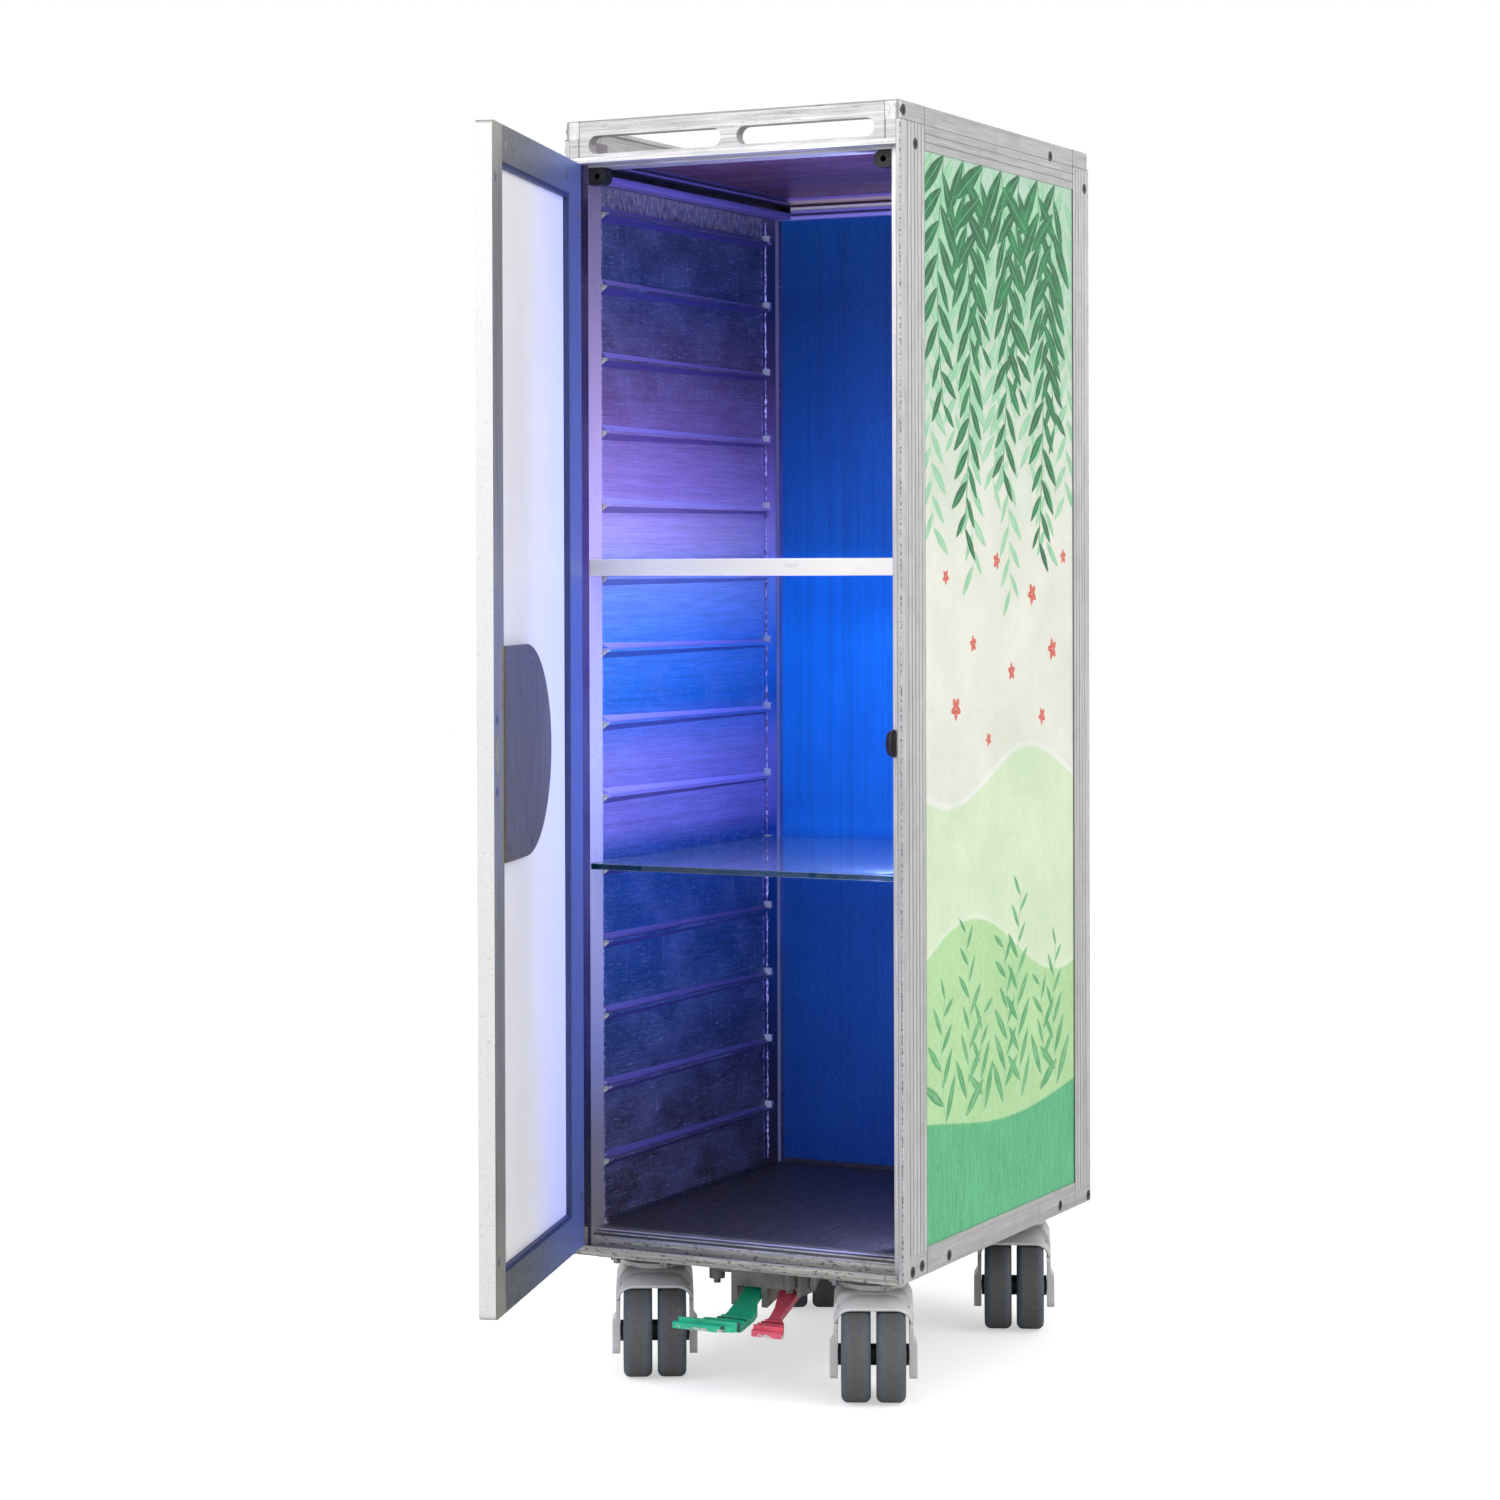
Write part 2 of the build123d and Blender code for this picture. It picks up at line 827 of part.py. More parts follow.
# Window pane, its groove and the places of the door's screws
pane_front = 4.5
pane_thickness = 4.0
pane_lap = 4.0
pane_fit = 0.2
door_screw_head = 3.6
door_screw_depth = 0.8
corner_inset = 42.0
stile_middle = 10.0
striker_screw_rise = 27.0
pane_back = pane_front + pane_thickness
latch_height = 524.0
door_screw_places = [
    (door_width - stile_middle, door_top - corner_inset),
    (door_width - stile_middle, door_bottom + corner_inset),
    (door_width - corner_inset, door_top - rail_top_height / 2),
    (door_width - corner_inset, door_bottom + rail_bottom_height / 2),
    (stile_middle, door_top - corner_inset),
    (stile_middle, door_bottom + corner_inset),
    (hinge_stile + stile_middle, door_top - rail_top_height / 2),
    (hinge_stile + stile_middle, door_bottom + rail_bottom_height / 2),
    (door_width - stile_middle, latch_height + striker_screw_rise),
    (door_width - stile_middle, latch_height - striker_screw_rise),
]


def frame_cuts():
    """Cuts the pane's groove and the screw seats into a member of the door's frame."""
    door_slab(
        (hinge_stile - pane_lap - pane_fit, stile_in + pane_lap + pane_fit),
        (window_low - pane_lap - pane_fit, window_high + pane_lap + pane_fit),
        (pane_front - pane_fit, pane_back + pane_fit),
        Mode.SUBTRACT,
    )
    door_disc(
        door_screw_places,
        door_screw_head + screw_fit,
        (door_thickness - door_screw_depth, door_thickness + overrun),
        Mode.SUBTRACT,
    )


# Latch: a half moon case in the window with a bowl, a paddle and a bolt
case_straight = 95.0
cover_radius = 81.0
cover_rim = 2.0
cover_thickness = 1.5
case_front = 1.0
bowl_centre = 97.0
bowl_radius = 60.0
bowl_depth = 10.0
paddle_gap = 2.0
paddle_axis = 52.0
paddle_tail = 2.5
paddle_end = 110.0
paddle_front = 2.0
paddle_thickness = 3.0
paddle_pin = 1.2
paddle_pin_half = 47.0
bolt_tip = 10.3
bolt_end = 45.0
bolt_half = 3.0
bolt_front = 7.4
bolt_thickness = 2.2
catch_in = 5.2
catch_out = 13.8
catch_half = 14.0
catch_depth = 10.0
case_radius = cover_radius - cover_rim
paddle_depth = paddle_front + paddle_thickness / 2


def half_moon(radius, depth_span, mode=Mode.ADD):
    """Adds or cuts the latch's outline: straight at the stile and round towards the hinge."""
    with BuildSketch(door_frame.offset(-depth_span[1])) as outline:
        with Locations((door_width - case_straight, latch_height)):
            Circle(radius)
        with Locations((door_width - (case_straight + latch_stile) / 2, latch_height)):
            Rectangle(case_straight - latch_stile, 2 * radius)
        with Locations((door_width - latch_stile / 2, latch_height)):
            Rectangle(latch_stile, 2 * radius + 2 * overrun, mode=Mode.SUBTRACT)
    extrude(outline.sketch, amount=depth_span[1] - depth_span[0], mode=mode)


def bolt_channel():
    """Cuts the bolt's channel, a part gap wider than the bolt all round."""
    door_slab(
        (door_width - bolt_end - overrun, door_width - bolt_tip),
        (latch_height - bolt_half - part_gap, latch_height + bolt_half + part_gap),
        (bolt_front - part_gap, bolt_front + bolt_thickness + part_gap),
        Mode.SUBTRACT,
    )


with BuildPart() as door_hinge_stile:
    door_slab((0, hinge_stile), (door_bottom, door_top), (0, door_thickness))
    frame_cuts()
    door_slab((-overrun, leaf_width), (hinge_bottom, hinge_top), (-overrun, leaf_thickness), Mode.SUBTRACT)
save(door_hinge_stile, "door_hinge_stile")

with BuildPart() as door_latch_stile:
    with BuildSketch(door_frame.offset(-door_thickness)) as stile_outline:
        with Locations((door_width - latch_stile / 2, (door_bottom + door_top) / 2)):
            Rectangle(latch_stile, door_height)
        fillet(stile_outline.vertices().filter_by(lambda v: v.X > stile_in + part_gap), door_corner)
    extrude(amount=door_thickness)
    frame_cuts()
    door_slab(
        (door_width - catch_out, door_width - catch_in),
        (latch_height - catch_half, latch_height + catch_half),
        (door_thickness - catch_depth, door_thickness + overrun),
        Mode.SUBTRACT,
    )
    bolt_channel()
save(door_latch_stile, "door_latch_stile")

with BuildPart() as door_rails:
    door_slab((hinge_stile, stile_in), (window_high, door_top), (0, door_thickness))
    door_slab((hinge_stile, stile_in), (door_bottom, window_low), (0, door_thickness))
    frame_cuts()
save(door_rails, "door_rails")

with BuildPart() as window_pane:
    door_slab(
        (hinge_stile - pane_lap, stile_in + pane_lap),
        (window_low - pane_lap, window_high + pane_lap),
        (pane_front, pane_back),
    )
    half_moon(case_radius + pane_fit, (pane_front - overrun, pane_back + overrun), Mode.SUBTRACT)
    door_slab(
        (stile_in - overrun, stile_in + pane_lap + overrun),
        (latch_height - case_radius - pane_fit, latch_height + case_radius + pane_fit),
        (pane_front - overrun, pane_back + overrun),
        Mode.SUBTRACT,
    )
save(window_pane, "window_pane")

# Window beads: a square frame on each side of the pane
bead = 3.5
bead_set_back = 0.8
with BuildPart() as window_beads:
    for depths in (
        (bead_set_back, pane_front),
        (pane_back, door_thickness - bead_set_back),
    ):
        door_slab((hinge_stile, stile_in), (window_low, window_high), depths)
        door_slab(
            (hinge_stile + bead, stile_in - bead),
            (window_low + bead, window_high - bead),
            depths,
            Mode.SUBTRACT,
        )
        half_moon(cover_radius + pane_fit, depths, Mode.SUBTRACT)
save(window_beads, "window_beads")

cover_screw_near = 40.0
cover_screw_far = 110.0
cover_screw_rise = 71.0
cover_screw_places = [
    (door_width - along, latch_height + side * cover_screw_rise)
    for along in (cover_screw_near, cover_screw_far)
    for side in (-1, 1)
]
with BuildPart() as latch_cover:
    half_moon(cover_radius, (door_thickness, door_thickness + cover_thickness))
    door_disc(
        cover_screw_places,
        door_screw_head + screw_fit,
        (door_thickness + cover_thickness - door_screw_depth, door_thickness + cover_thickness + overrun),
        Mode.SUBTRACT,
    )
save(latch_cover, "latch_cover")

bowl_place = [(door_width - bowl_centre, latch_height)]
paddle_pin_place = door_frame.offset(-paddle_depth)
with BuildPart() as latch_case:
    half_moon(case_radius, (case_front, door_thickness))
    door_disc(bowl_place, bowl_radius, (case_front - overrun, bowl_depth), Mode.SUBTRACT)
    bolt_channel()
    door_slab(
        (
            door_width - paddle_axis - paddle_pin - running_gap,
            door_width - paddle_axis + paddle_pin + running_gap,
        ),
        (latch_height - paddle_pin_half - part_gap, latch_height + paddle_pin_half + part_gap),
        (paddle_depth - paddle_pin - running_gap, paddle_depth + paddle_pin + running_gap),
        Mode.SUBTRACT,
    )
save(latch_case, "latch_case")

pin_origin = door_frame.from_local_coords(Vector(door_width - paddle_axis, latch_height, -paddle_depth))
with BuildPart() as latch_paddle:
    with BuildSketch(door_frame.offset(-paddle_front - paddle_thickness)) as paddle_outline:
        with Locations(bowl_place[0]):
            Circle(bowl_radius - paddle_gap)
        with Locations((door_width - (paddle_end + paddle_axis - paddle_tail) / 2, latch_height)):
            Rectangle(paddle_end - paddle_axis + paddle_tail, 2 * bowl_radius, mode=Mode.INTERSECT)
    extrude(amount=paddle_thickness)
    rod((pin_origin.X, pin_origin.Y), paddle_pin, (latch_height - paddle_pin_half, latch_height + paddle_pin_half))
save(latch_paddle, "latch_paddle")

with BuildPart() as latch_bolt:
    door_slab(
        (door_width - bolt_end, door_width - bolt_tip),
        (latch_height - bolt_half, latch_height + bolt_half),
        (bolt_front, bolt_front + bolt_thickness),
    )
save(latch_bolt, "latch_bolt")

with BuildPart() as door_screws:
    door_disc(door_screw_places, door_screw_head, (door_thickness - door_screw_depth, door_thickness))
    door_disc(
        cover_screw_places,
        door_screw_head,
        (door_thickness + cover_thickness - door_screw_depth, door_thickness + cover_thickness),
    )
save(door_screws, "door_screws")

# Striker: a black stud on the rebate face that the door's catch slot swallows
striker_side_gap = 0.7
striker_half = 11.0
striker_reach = 9.0
striker_wrap = 2.5
striker_round = 2.5
notch_gap = 0.8
free_edge = door_edge + door_width
striker_left = free_edge - catch_out + striker_side_gap
striker_right = free_edge - catch_in - striker_side_gap
striker_tip = rebate - striker_reach
notch_front = front + bolt_front - notch_gap
notch_back = front + bolt_front + bolt_thickness + notch_gap

with BuildPart() as striker_stud:
    with BuildSketch(Plane.YZ.offset(striker_left)) as stud_outline:
        with Locations(((striker_tip + rebate) / 2, latch_height)):
            Rectangle(striker_reach, 2 * striker_half)
        fillet(stud_outline.vertices().group_by(Axis.X)[0], striker_round)
    extrude(amount=striker_right - striker_left)
    slab(
        (striker_left, core_half),
        (rebate, rebate + striker_wrap),
        (latch_height - striker_half, latch_height + striker_half),
    )
    slab(
        (striker_left - overrun, free_edge - bolt_tip + notch_gap),
        (notch_front, notch_back),
        (latch_height - bolt_half - notch_gap, latch_height + bolt_half + notch_gap),
        Mode.SUBTRACT,
    )
save(striker_stud, "striker_stud")

# Hinge: interleaved knuckles on one long pin
knuckle_length = (hinge_top - hinge_bottom) / knuckle_count
bore_radius = pin_radius + pin_clearance


def knuckle_span(i):
    """The lower and upper ends of one knuckle."""
    low = hinge_bottom + knuckle_length * i
    return (low + knuckle_gap / 2, low + knuckle_length - knuckle_gap / 2)


with BuildPart() as hinge_leaf_cabinet:
    slab(
        (-half_width, -half_width + leaf_thickness),
        (pin_y + knuckle_radius + tip_clearance, front + leaf_width),
        (hinge_bottom, hinge_top),
    )
    for i in range(0, knuckle_count, 2):
        rod((pin_x, pin_y), knuckle_radius, knuckle_span(i))
        slab(
            (-half_width, -half_width + leaf_thickness),
            (pin_y, pin_y + knuckle_radius + tip_clearance),
            knuckle_span(i),
        )
    rod((pin_x, pin_y), bore_radius, (hinge_bottom - overrun, hinge_top + overrun), Mode.SUBTRACT)
save(hinge_leaf_cabinet, "hinge_leaf_cabinet")

with BuildPart() as hinge_leaf_door:
    door_slab((0, leaf_width), (hinge_bottom, hinge_top), (0, leaf_thickness))
    for i in range(1, knuckle_count, 2):
        rod((pin_x, pin_y), knuckle_radius, knuckle_span(i))
        door_slab((-hinge_offset[0], 0), knuckle_span(i), (0, leaf_thickness))
    rod((pin_x, pin_y), bore_radius, (hinge_bottom - overrun, hinge_top + overrun), Mode.SUBTRACT)
save(hinge_leaf_door, "hinge_leaf_door")

with BuildPart() as hinge_pin:
    rod((pin_x, pin_y), pin_radius, (hinge_bottom - pin_radius, hinge_top + pin_radius))
save(hinge_pin, "hinge_pin")

# Shelves: a white board and a glass plate on the runners
board_bottom = runner_lowest + runner_pitch * board_runner_count + runner_rise + shelf_clearance
glass_bottom = runner_lowest + runner_pitch * glass_runner_count + runner_rise + shelf_clearance
board_edge_round = 1.0

with BuildPart() as white_shelf:
    slab((-shelf_half, shelf_half), (shelf_front, shelf_back), (board_bottom, board_bottom + board_thickness))
    fillet(white_shelf.edges().filter_by(Axis.X), board_edge_round)
save(white_shelf, "white_shelf")

with BuildPart() as glass_shelf:
    slab((-shelf_half, shelf_half), (shelf_front, shelf_back), (glass_bottom, glass_bottom + glass_thickness))
    chamfer(glass_shelf.edges().filter_by(Axis.X), board_edge_round / 2)
save(glass_shelf, "glass_shelf")

# Brake unit: a cast housing with three legs, a shaft and two pedals, between the front caster plates
plate_half = 38.0
unit_room = caster_x - plate_half
unit_set_back = 44.5
unit_depth = 40.0
unit_left_share = -0.379
unit_right_share = 0.645
unit_roof = 8.5
face_height = 22.5
face_thickness = 5.0
shaft_in = 20.0
shaft_drop = 18.5
shaft_radius = 4.0
collar_radius = 5.5
collar_width = 1.2
leg_heel = 26.0
leg_rise = 6.0
leg_back_height = 14.5
long_leg_height = 38.5
short_leg_height = 27.0
left_leg_shares = (unit_left_share, -0.290)
middle_leg_shares = (0.069, 0.153)
right_leg_shares = (0.585, unit_right_share)
boss_share = -0.653
boss_size = 6.5
boss_in = 8.0
boss_height = 19.5
boss_web_height = 12.5
stud_share = 0.508
stud_radius = 5.0
stud_out = 4.0
bolt_radius = 3.2
bolt_drop = 4.0
unit_front = front + unit_set_back
unit_back = unit_front + unit_depth
unit_left = unit_room * unit_left_share
unit_right = unit_room * unit_right_share
face_bottom = underside - face_height
shaft_y = unit_front + shaft_in
shaft_z = underside - shaft_drop
leg_back_bottom = underside - leg_back_height
long_leg_bottom = underside - long_leg_height
short_leg_bottom = underside - short_leg_height
boss_bottom = underside - boss_height
boss_web_bottom = underside - boss_web_height
boss_x = unit_room * boss_share
boss_y = unit_front + boss_in
stud_x = unit_room * stud_share
stud_y = unit_front - stud_out
legs = (
    (left_leg_shares, long_leg_bottom, leg_rise),
    (middle_leg_shares, long_leg_bottom, leg_rise),
    (right_leg_shares, short_leg_bottom, 0),
)

with BuildPart() as brake_housing:
    slab((unit_left, unit_right), (unit_front, unit_back), (underside - unit_roof, underside))
    slab((unit_left, unit_right), (unit_front, unit_front + face_thickness), (face_bottom, underside))
    for leg_shares, leg_bottom, rise in legs:
        prism(
            [
                (unit_front, leg_bottom),
                (unit_front + leg_heel, leg_bottom + rise),
                (unit_back, leg_back_bottom),
                (unit_back, underside),
                (unit_front, underside),
            ],
            Plane.YZ.offset(unit_room * leg_shares[0]),
            unit_room * (leg_shares[1] - leg_shares[0]),
        )
    slab((boss_x, unit_left), (unit_front, boss_y + boss_size), (boss_web_bottom, underside))
    rod((boss_x, boss_y), boss_size, (boss_bottom, underside))
    rod((stud_x, stud_y), stud_radius, (boss_bottom, underside))
    cross_rod(
        (shaft_y, shaft_z),
        shaft_radius + pin_clearance,
        (unit_left - overrun, unit_right + overrun),
        Mode.SUBTRACT,
    )
save(brake_housing, "brake_housing")

with BuildPart() as pedal_shaft:
    cross_rod((shaft_y, shaft_z), shaft_radius, (unit_left - collar_width, unit_right + collar_width))
    cross_rod((shaft_y, shaft_z), collar_radius, (unit_left - collar_width, unit_left))
    cross_rod((shaft_y, shaft_z), collar_radius, (unit_right, unit_right + collar_width))
save(pedal_shaft, "pedal_shaft")

# Pedals: a hub on the shaft and a bent blade with ribs across its toe
pedal_hub = 8.0
blade_thickness = 5.0
blade_heel_drop = 4.0
pedal_reach = 87.0
pedal_drop = 21.5
run_shares = (0, 0.18, 0.30, 0.57, 1)
drop_shares = (0, 0.26, 0.47, 0.86, 1)
rib_count = 4
rib_first = 6.0
rib_pitch = 7.0
rib_width = 2.4
rib_height = 2.0
rib_root = 4.0
blade_corner = 1.5
green_plan_shares = (
    (-0.255, -0.115),
    (-0.202, 0.310),
    (-0.190, 0.800),
    (-0.420, 0.905),
    (-0.694, 0.955),
    (-0.694, 1),
    (-0.048, 1),
    (0.258, 0.925),
    (0.234, 0.770),
    (0.185, 0.480),
    (0.053, 0.290),
    (0.053, -0.115),
)
red_plan_shares = (
    (0.289, -0.115),
    (0.289, 0.195),
    (0.395, 0.425),
    (0.452, 0.710),
    (0.452, 1),
    (0.911, 1),
    (0.758, 0.750),
    (0.565, 0.550),
    (0.565, -0.115),
)
blade_top_z = shaft_z - blade_heel_drop
toe_z = blade_top_z - pedal_drop
toe_y = shaft_y - pedal_reach


def pedal(plan_shares):
    """One pedal: its side profile cut to its outline from above, with a hub on the shaft."""
    outline = [(unit_room * across, shaft_y - pedal_reach * along) for across, along in plan_shares]
    neck = (outline[0][0], outline[-1][0])
    left = min(point[0] for point in outline) - overrun
    right = max(point[0] for point in outline) + overrun
    with BuildPart() as blade:
        with BuildSketch(Plane.YZ.offset(left)) as profile:
            with BuildLine():
                Polyline(
                    *[
                        (shaft_y - pedal_reach * run, blade_top_z - pedal_drop * drop)
                        for run, drop in zip(run_shares, drop_shares)
                    ]
                )
            trace(line_width=blade_thickness)
            for i in range(rib_count):
                with Locations((toe_y + rib_first + rib_pitch * i, toe_z + rib_root)):
                    Rectangle(rib_width, 2 * rib_height)
        extrude(amount=right - left)
        with BuildSketch(Plane.XY) as plan:
            with BuildLine():
                FilletPolyline(*outline, radius=blade_corner, close=True)
            make_face()
        extrude(amount=body_bottom, mode=Mode.INTERSECT)
        cross_rod((shaft_y, shaft_z), pedal_hub, neck)
        cross_rod(
            (shaft_y, shaft_z),
            shaft_radius + running_gap,
            (neck[0] - overrun, neck[1] + overrun),
            Mode.SUBTRACT,
        )
    return blade.part


with BuildPart() as green_pedal:
    add(pedal(green_plan_shares))
save(green_pedal, "green_pedal")

with BuildPart() as red_pedal:
    add(pedal(red_plan_shares))
save(red_pedal, "red_pedal")

# Caster plates: a square plate, a bearing cup and a riveted kingpin under each corner
plate_thickness = 4.0
plate_corner = 8.0
cup_radius = 26.0
cup_height = 4.5
kingpin_radius = 6.0
kingpin_end_radius = 4.8
bearing_gap = 0.3
fork_roof = 7.5
nut_across = 16.0
nut_height = 4.0
stud_half_span = 23.0
caster_stud_radius = 3.0
caster_nut_across = 10.0
caster_nut_height = 4.0
stud_tail = 3.0
plate_bottom = underside - plate_thickness
cup_bottom = plate_bottom - cup_height
fork_top = cup_bottom - bearing_gap
roof_bottom = fork_top - fork_roof
nut_top = roof_bottom - bearing_gap
nut_bottom = nut_top - nut_height
corners = [(-caster_x, -caster_y), (caster_x, -caster_y), (caster_x, caster_y), (-caster_x, caster_y)]

with BuildPart() as caster_plates:
    with BuildSketch(Plane.XY.offset(plate_bottom)):
        with Locations(*corners):
            RectangleRounded(2 * plate_half, 2 * plate_half, plate_corner)
            with GridLocations(2 * stud_half_span, 2 * stud_half_span, 2, 2):
                Circle(caster_stud_radius + screw_fit, mode=Mode.SUBTRACT)
    extrude(amount=plate_thickness)
    with BuildSketch(Plane.XY.offset(cup_bottom)):
        with Locations(*corners):
            Circle(cup_radius)
    extrude(amount=cup_height)
    with BuildSketch(Plane.XY.offset(nut_bottom)):
        with Locations(*corners):
            Circle(kingpin_end_radius)
    extrude(amount=cup_bottom - nut_bottom)
    with BuildSketch(Plane.XY.offset(nut_top)):
        with Locations(*corners):
            Circle(kingpin_radius)
    extrude(amount=cup_bottom - nut_top)
save(caster_plates, "caster_plates")

with BuildPart() as caster_bolts:
    with BuildSketch(Plane.XY.offset(plate_bottom - caster_nut_height)):
        with Locations(*corners):
            with GridLocations(2 * stud_half_span, 2 * stud_half_span, 2, 2):
                RegularPolygon(caster_nut_across / 2, 6, major_radius=False)
    extrude(amount=caster_nut_height)
    with BuildSketch(Plane.XY.offset(plate_bottom - caster_nut_height - stud_tail)):
        with Locations(*corners):
            with GridLocations(2 * stud_half_span, 2 * stud_half_span, 2, 2):
                Circle(caster_stud_radius)
    extrude(amount=stud_tail + caster_nut_height + plate_thickness)
    with BuildSketch(Plane.XY.offset(nut_bottom)):
        with Locations(*corners):
            RegularPolygon(nut_across / 2, 6, major_radius=False)
            Circle(kingpin_end_radius + pin_clearance, mode=Mode.SUBTRACT)
    extrude(amount=nut_height)
    with BuildSketch(Plane.XY.offset(boss_bottom - bolt_drop)):
        with Locations((boss_x, boss_y), (stud_x, stud_y)):
            RegularPolygon(bolt_radius, 6)
    extrude(amount=bolt_drop)
save(caster_bolts, "caster_bolts")

# Casters: a hooded fork, a twin rim hub on an axle and two tyres, trailing to the front
caster_names = ("front_left", "front_right", "rear_right", "rear_left")
trail_angles = (28.4, 24.8, 22.5, 25.8)
ring_radius = 26.0
ring_height = 4.0
wheel_play = 1.5
shoulder_drop = 3.7
lip_drop = 14.7
pad_rise = 13.5
pad_step = 4.0
leg_drop = 17.5
leg_half = 12.0
leg_corner = 5.0
head_back = -29.0
head_height = 1.0
hood_past = 2.0
hood_nose = 1.0
cheek_rise = 22.5
arch_drop = 9.0
crown_round = 9.0
nose_round = 14.0
hood_round = 8.0
pad_round = 2.5
hood_shoulder = fork_top - shoulder_drop
hood_lip = fork_top - lip_drop
pad_top = wheel_radius + pad_rise
leg_bottom_z = wheel_radius - leg_drop
head_low = hood_lip - head_height
hood_reach = trail + hood_past
cheek = wheel_radius + cheek_rise
arch_top = hood_lip - arch_drop
nut_room = 11.0
hub_web = 4.0
rim_wall = 4.0
hub_gap = 0.3
axle_inset = 0.8
hood_outline = [
    (head_back, head_low),
    (head_back, hood_lip + pad_step),
    (-ring_radius, hood_shoulder),
    (ring_radius, hood_shoulder),
    (hood_reach, hood_lip + hood_nose),
    (trail + leg_half, cheek),
    (trail + leg_half, leg_bottom_z),
    (trail - leg_half, leg_bottom_z),
    (trail - leg_half, wheel_radius + leg_half),
]
front_outline = [
    (-ring_radius, hood_shoulder),
    (ring_radius, hood_shoulder),
    (fork_outer, hood_lip),
    (fork_outer, pad_top),
    (fork_pad, pad_top - pad_step),
    (fork_pad, leg_bottom_z),
    (-fork_pad, leg_bottom_z),
    (-fork_pad, pad_top - pad_step),
    (-fork_outer, pad_top),
    (-fork_outer, hood_lip),
]


def caster_planes(pivot, angle):
    """The side plane, front plane and axle plane of a caster that trails at an angle."""
    heading = radians(angle)
    trail_way = Vector(sin(heading), -cos(heading), 0)
    axle_way = Vector(cos(heading), sin(heading), 0)
    origin = Vector(pivot[0], pivot[1], 0)
    side = Plane(origin=origin, x_dir=trail_way, z_dir=trail_way.cross(Vector(0, 0, 1)))
    front_view = Plane(origin=origin, x_dir=axle_way, z_dir=axle_way.cross(Vector(0, 0, 1)))
    return side, front_view


def caster_fork(pivot, angle):
    """A fork: its side profile cut to its front profile, hollowed for the wheels."""
    side, front_view = caster_planes(pivot, angle)
    with BuildPart() as fork:
        with BuildSketch(side) as profile:
            with BuildLine():
                Polyline(*hood_outline, close=True)
            make_face()
            fillet(profile.vertices().filter_by(lambda v: v.Y < pad_top), leg_corner)
            fillet(profile.vertices().filter_by(lambda v: v.Y > hood_lip and v.X > ring_radius - part_gap), nose_round)
        extrude(amount=fork_pad + overrun, both=True)
        with BuildSketch(front_view) as view:
            with BuildLine():
                Polyline(*front_outline, close=True)
            make_face()
            fillet(view.vertices().filter_by(lambda v: v.Y > hood_shoulder - part_gap), crown_round)
            fillet(view.vertices().filter_by(lambda v: hood_lip - part_gap < v.Y < hood_lip + part_gap), hood_round)
            fillet(view.vertices().filter_by(lambda v: pad_top - pad_step - part_gap < v.Y < pad_top + part_gap), pad_round)
        extrude(amount=wheel_radius + trail, both=True, mode=Mode.INTERSECT)
        rod(pivot, ring_radius, (fork_top - ring_height, fork_top))
        with BuildSketch(side) as wheel_room:
            with Locations((trail, wheel_radius)):
                Circle(wheel_radius + wheel_play)
        extrude(amount=fork_inner, both=True, mode=Mode.SUBTRACT)
        with BuildSketch(side) as arch:
            with Locations((trail / 2, arch_top / 2)):
                Rectangle(trail + 2 * fork_pad, arch_top)
        extrude(amount=fork_inner, both=True, mode=Mode.SUBTRACT)
        rod(pivot, nut_room, (arch_top - overrun, roof_bottom), Mode.SUBTRACT)
        rod(pivot, kingpin_radius + running_gap, (roof_bottom - overrun, fork_top + overrun), Mode.SUBTRACT)
        with BuildSketch(side) as bore:
            with Locations((trail, wheel_radius)):
                Circle(axle_radius)
        extrude(amount=fork_pad + overrun, both=True, mode=Mode.SUBTRACT)
    with BuildPart() as axle:
        with BuildSketch(side):
            with Locations((trail, wheel_radius)):
                Circle(axle_radius)
        extrude(amount=fork_pad - axle_inset, both=True)
    with BuildPart() as both_pieces:
        add(fork.part)
        add(axle.part)
    return both_pieces


def wheel_section(pivot, angle):
    """The plane for a wheel's section: x along the axle, y out from it, and the axle's axis."""
    side, front_view = caster_planes(pivot, angle)
    axle_centre = side.from_local_coords(Vector(trail, wheel_radius, 0))
    section = Plane(origin=axle_centre, x_dir=front_view.x_dir, z_dir=front_view.z_dir)
    return section, Axis(axle_centre, front_view.x_dir)


def caster_hub(pivot, angle):
    """One hub with a long boss and two rims, free on the axle."""
    section, axle_line = wheel_section(pivot, angle)
    half = tyre_width + tyre_gap / 2
    rim_low = tyre_gap / 2 + rim_wall / 2
    rim_high = half - rim_wall / 2
    rim_middle = (rim_low + rim_high) / 2
    with BuildPart() as hub:
        with BuildSketch(section) as boss:
            with Locations((0, (boss_radius + axle_radius + running_gap) / 2)):
                Rectangle(2 * (fork_inner - hub_gap), boss_radius - axle_radius - running_gap)
            for way in (-1, 1):
                with Locations((way * rim_middle, (boss_radius + rim_radius) / 2)):
                    Rectangle(hub_web, rim_radius - boss_radius)
                with Locations((way * rim_middle, rim_radius - rim_wall / 2)):
                    Rectangle(rim_high - rim_low, rim_wall)
        revolve(axis=axle_line)
    return hub


def caster_tyres(pivot, angle):
    """The two tyres of one caster, round shouldered rings on the rims."""
    section, axle_line = wheel_section(pivot, angle)
    with BuildPart() as tyres:
        for way in (-1, 1):
            with BuildSketch(section) as ring:
                with Locations((way * (tyre_gap + tyre_width) / 2, (rim_radius + wheel_radius) / 2)):
                    Rectangle(tyre_width, wheel_radius - rim_radius)
                fillet(ring.vertices().filter_by(lambda v: v.Y > wheel_radius - part_gap), tyre_shoulder)
            revolve(ring.sketch, axis=axle_line)
    return tyres


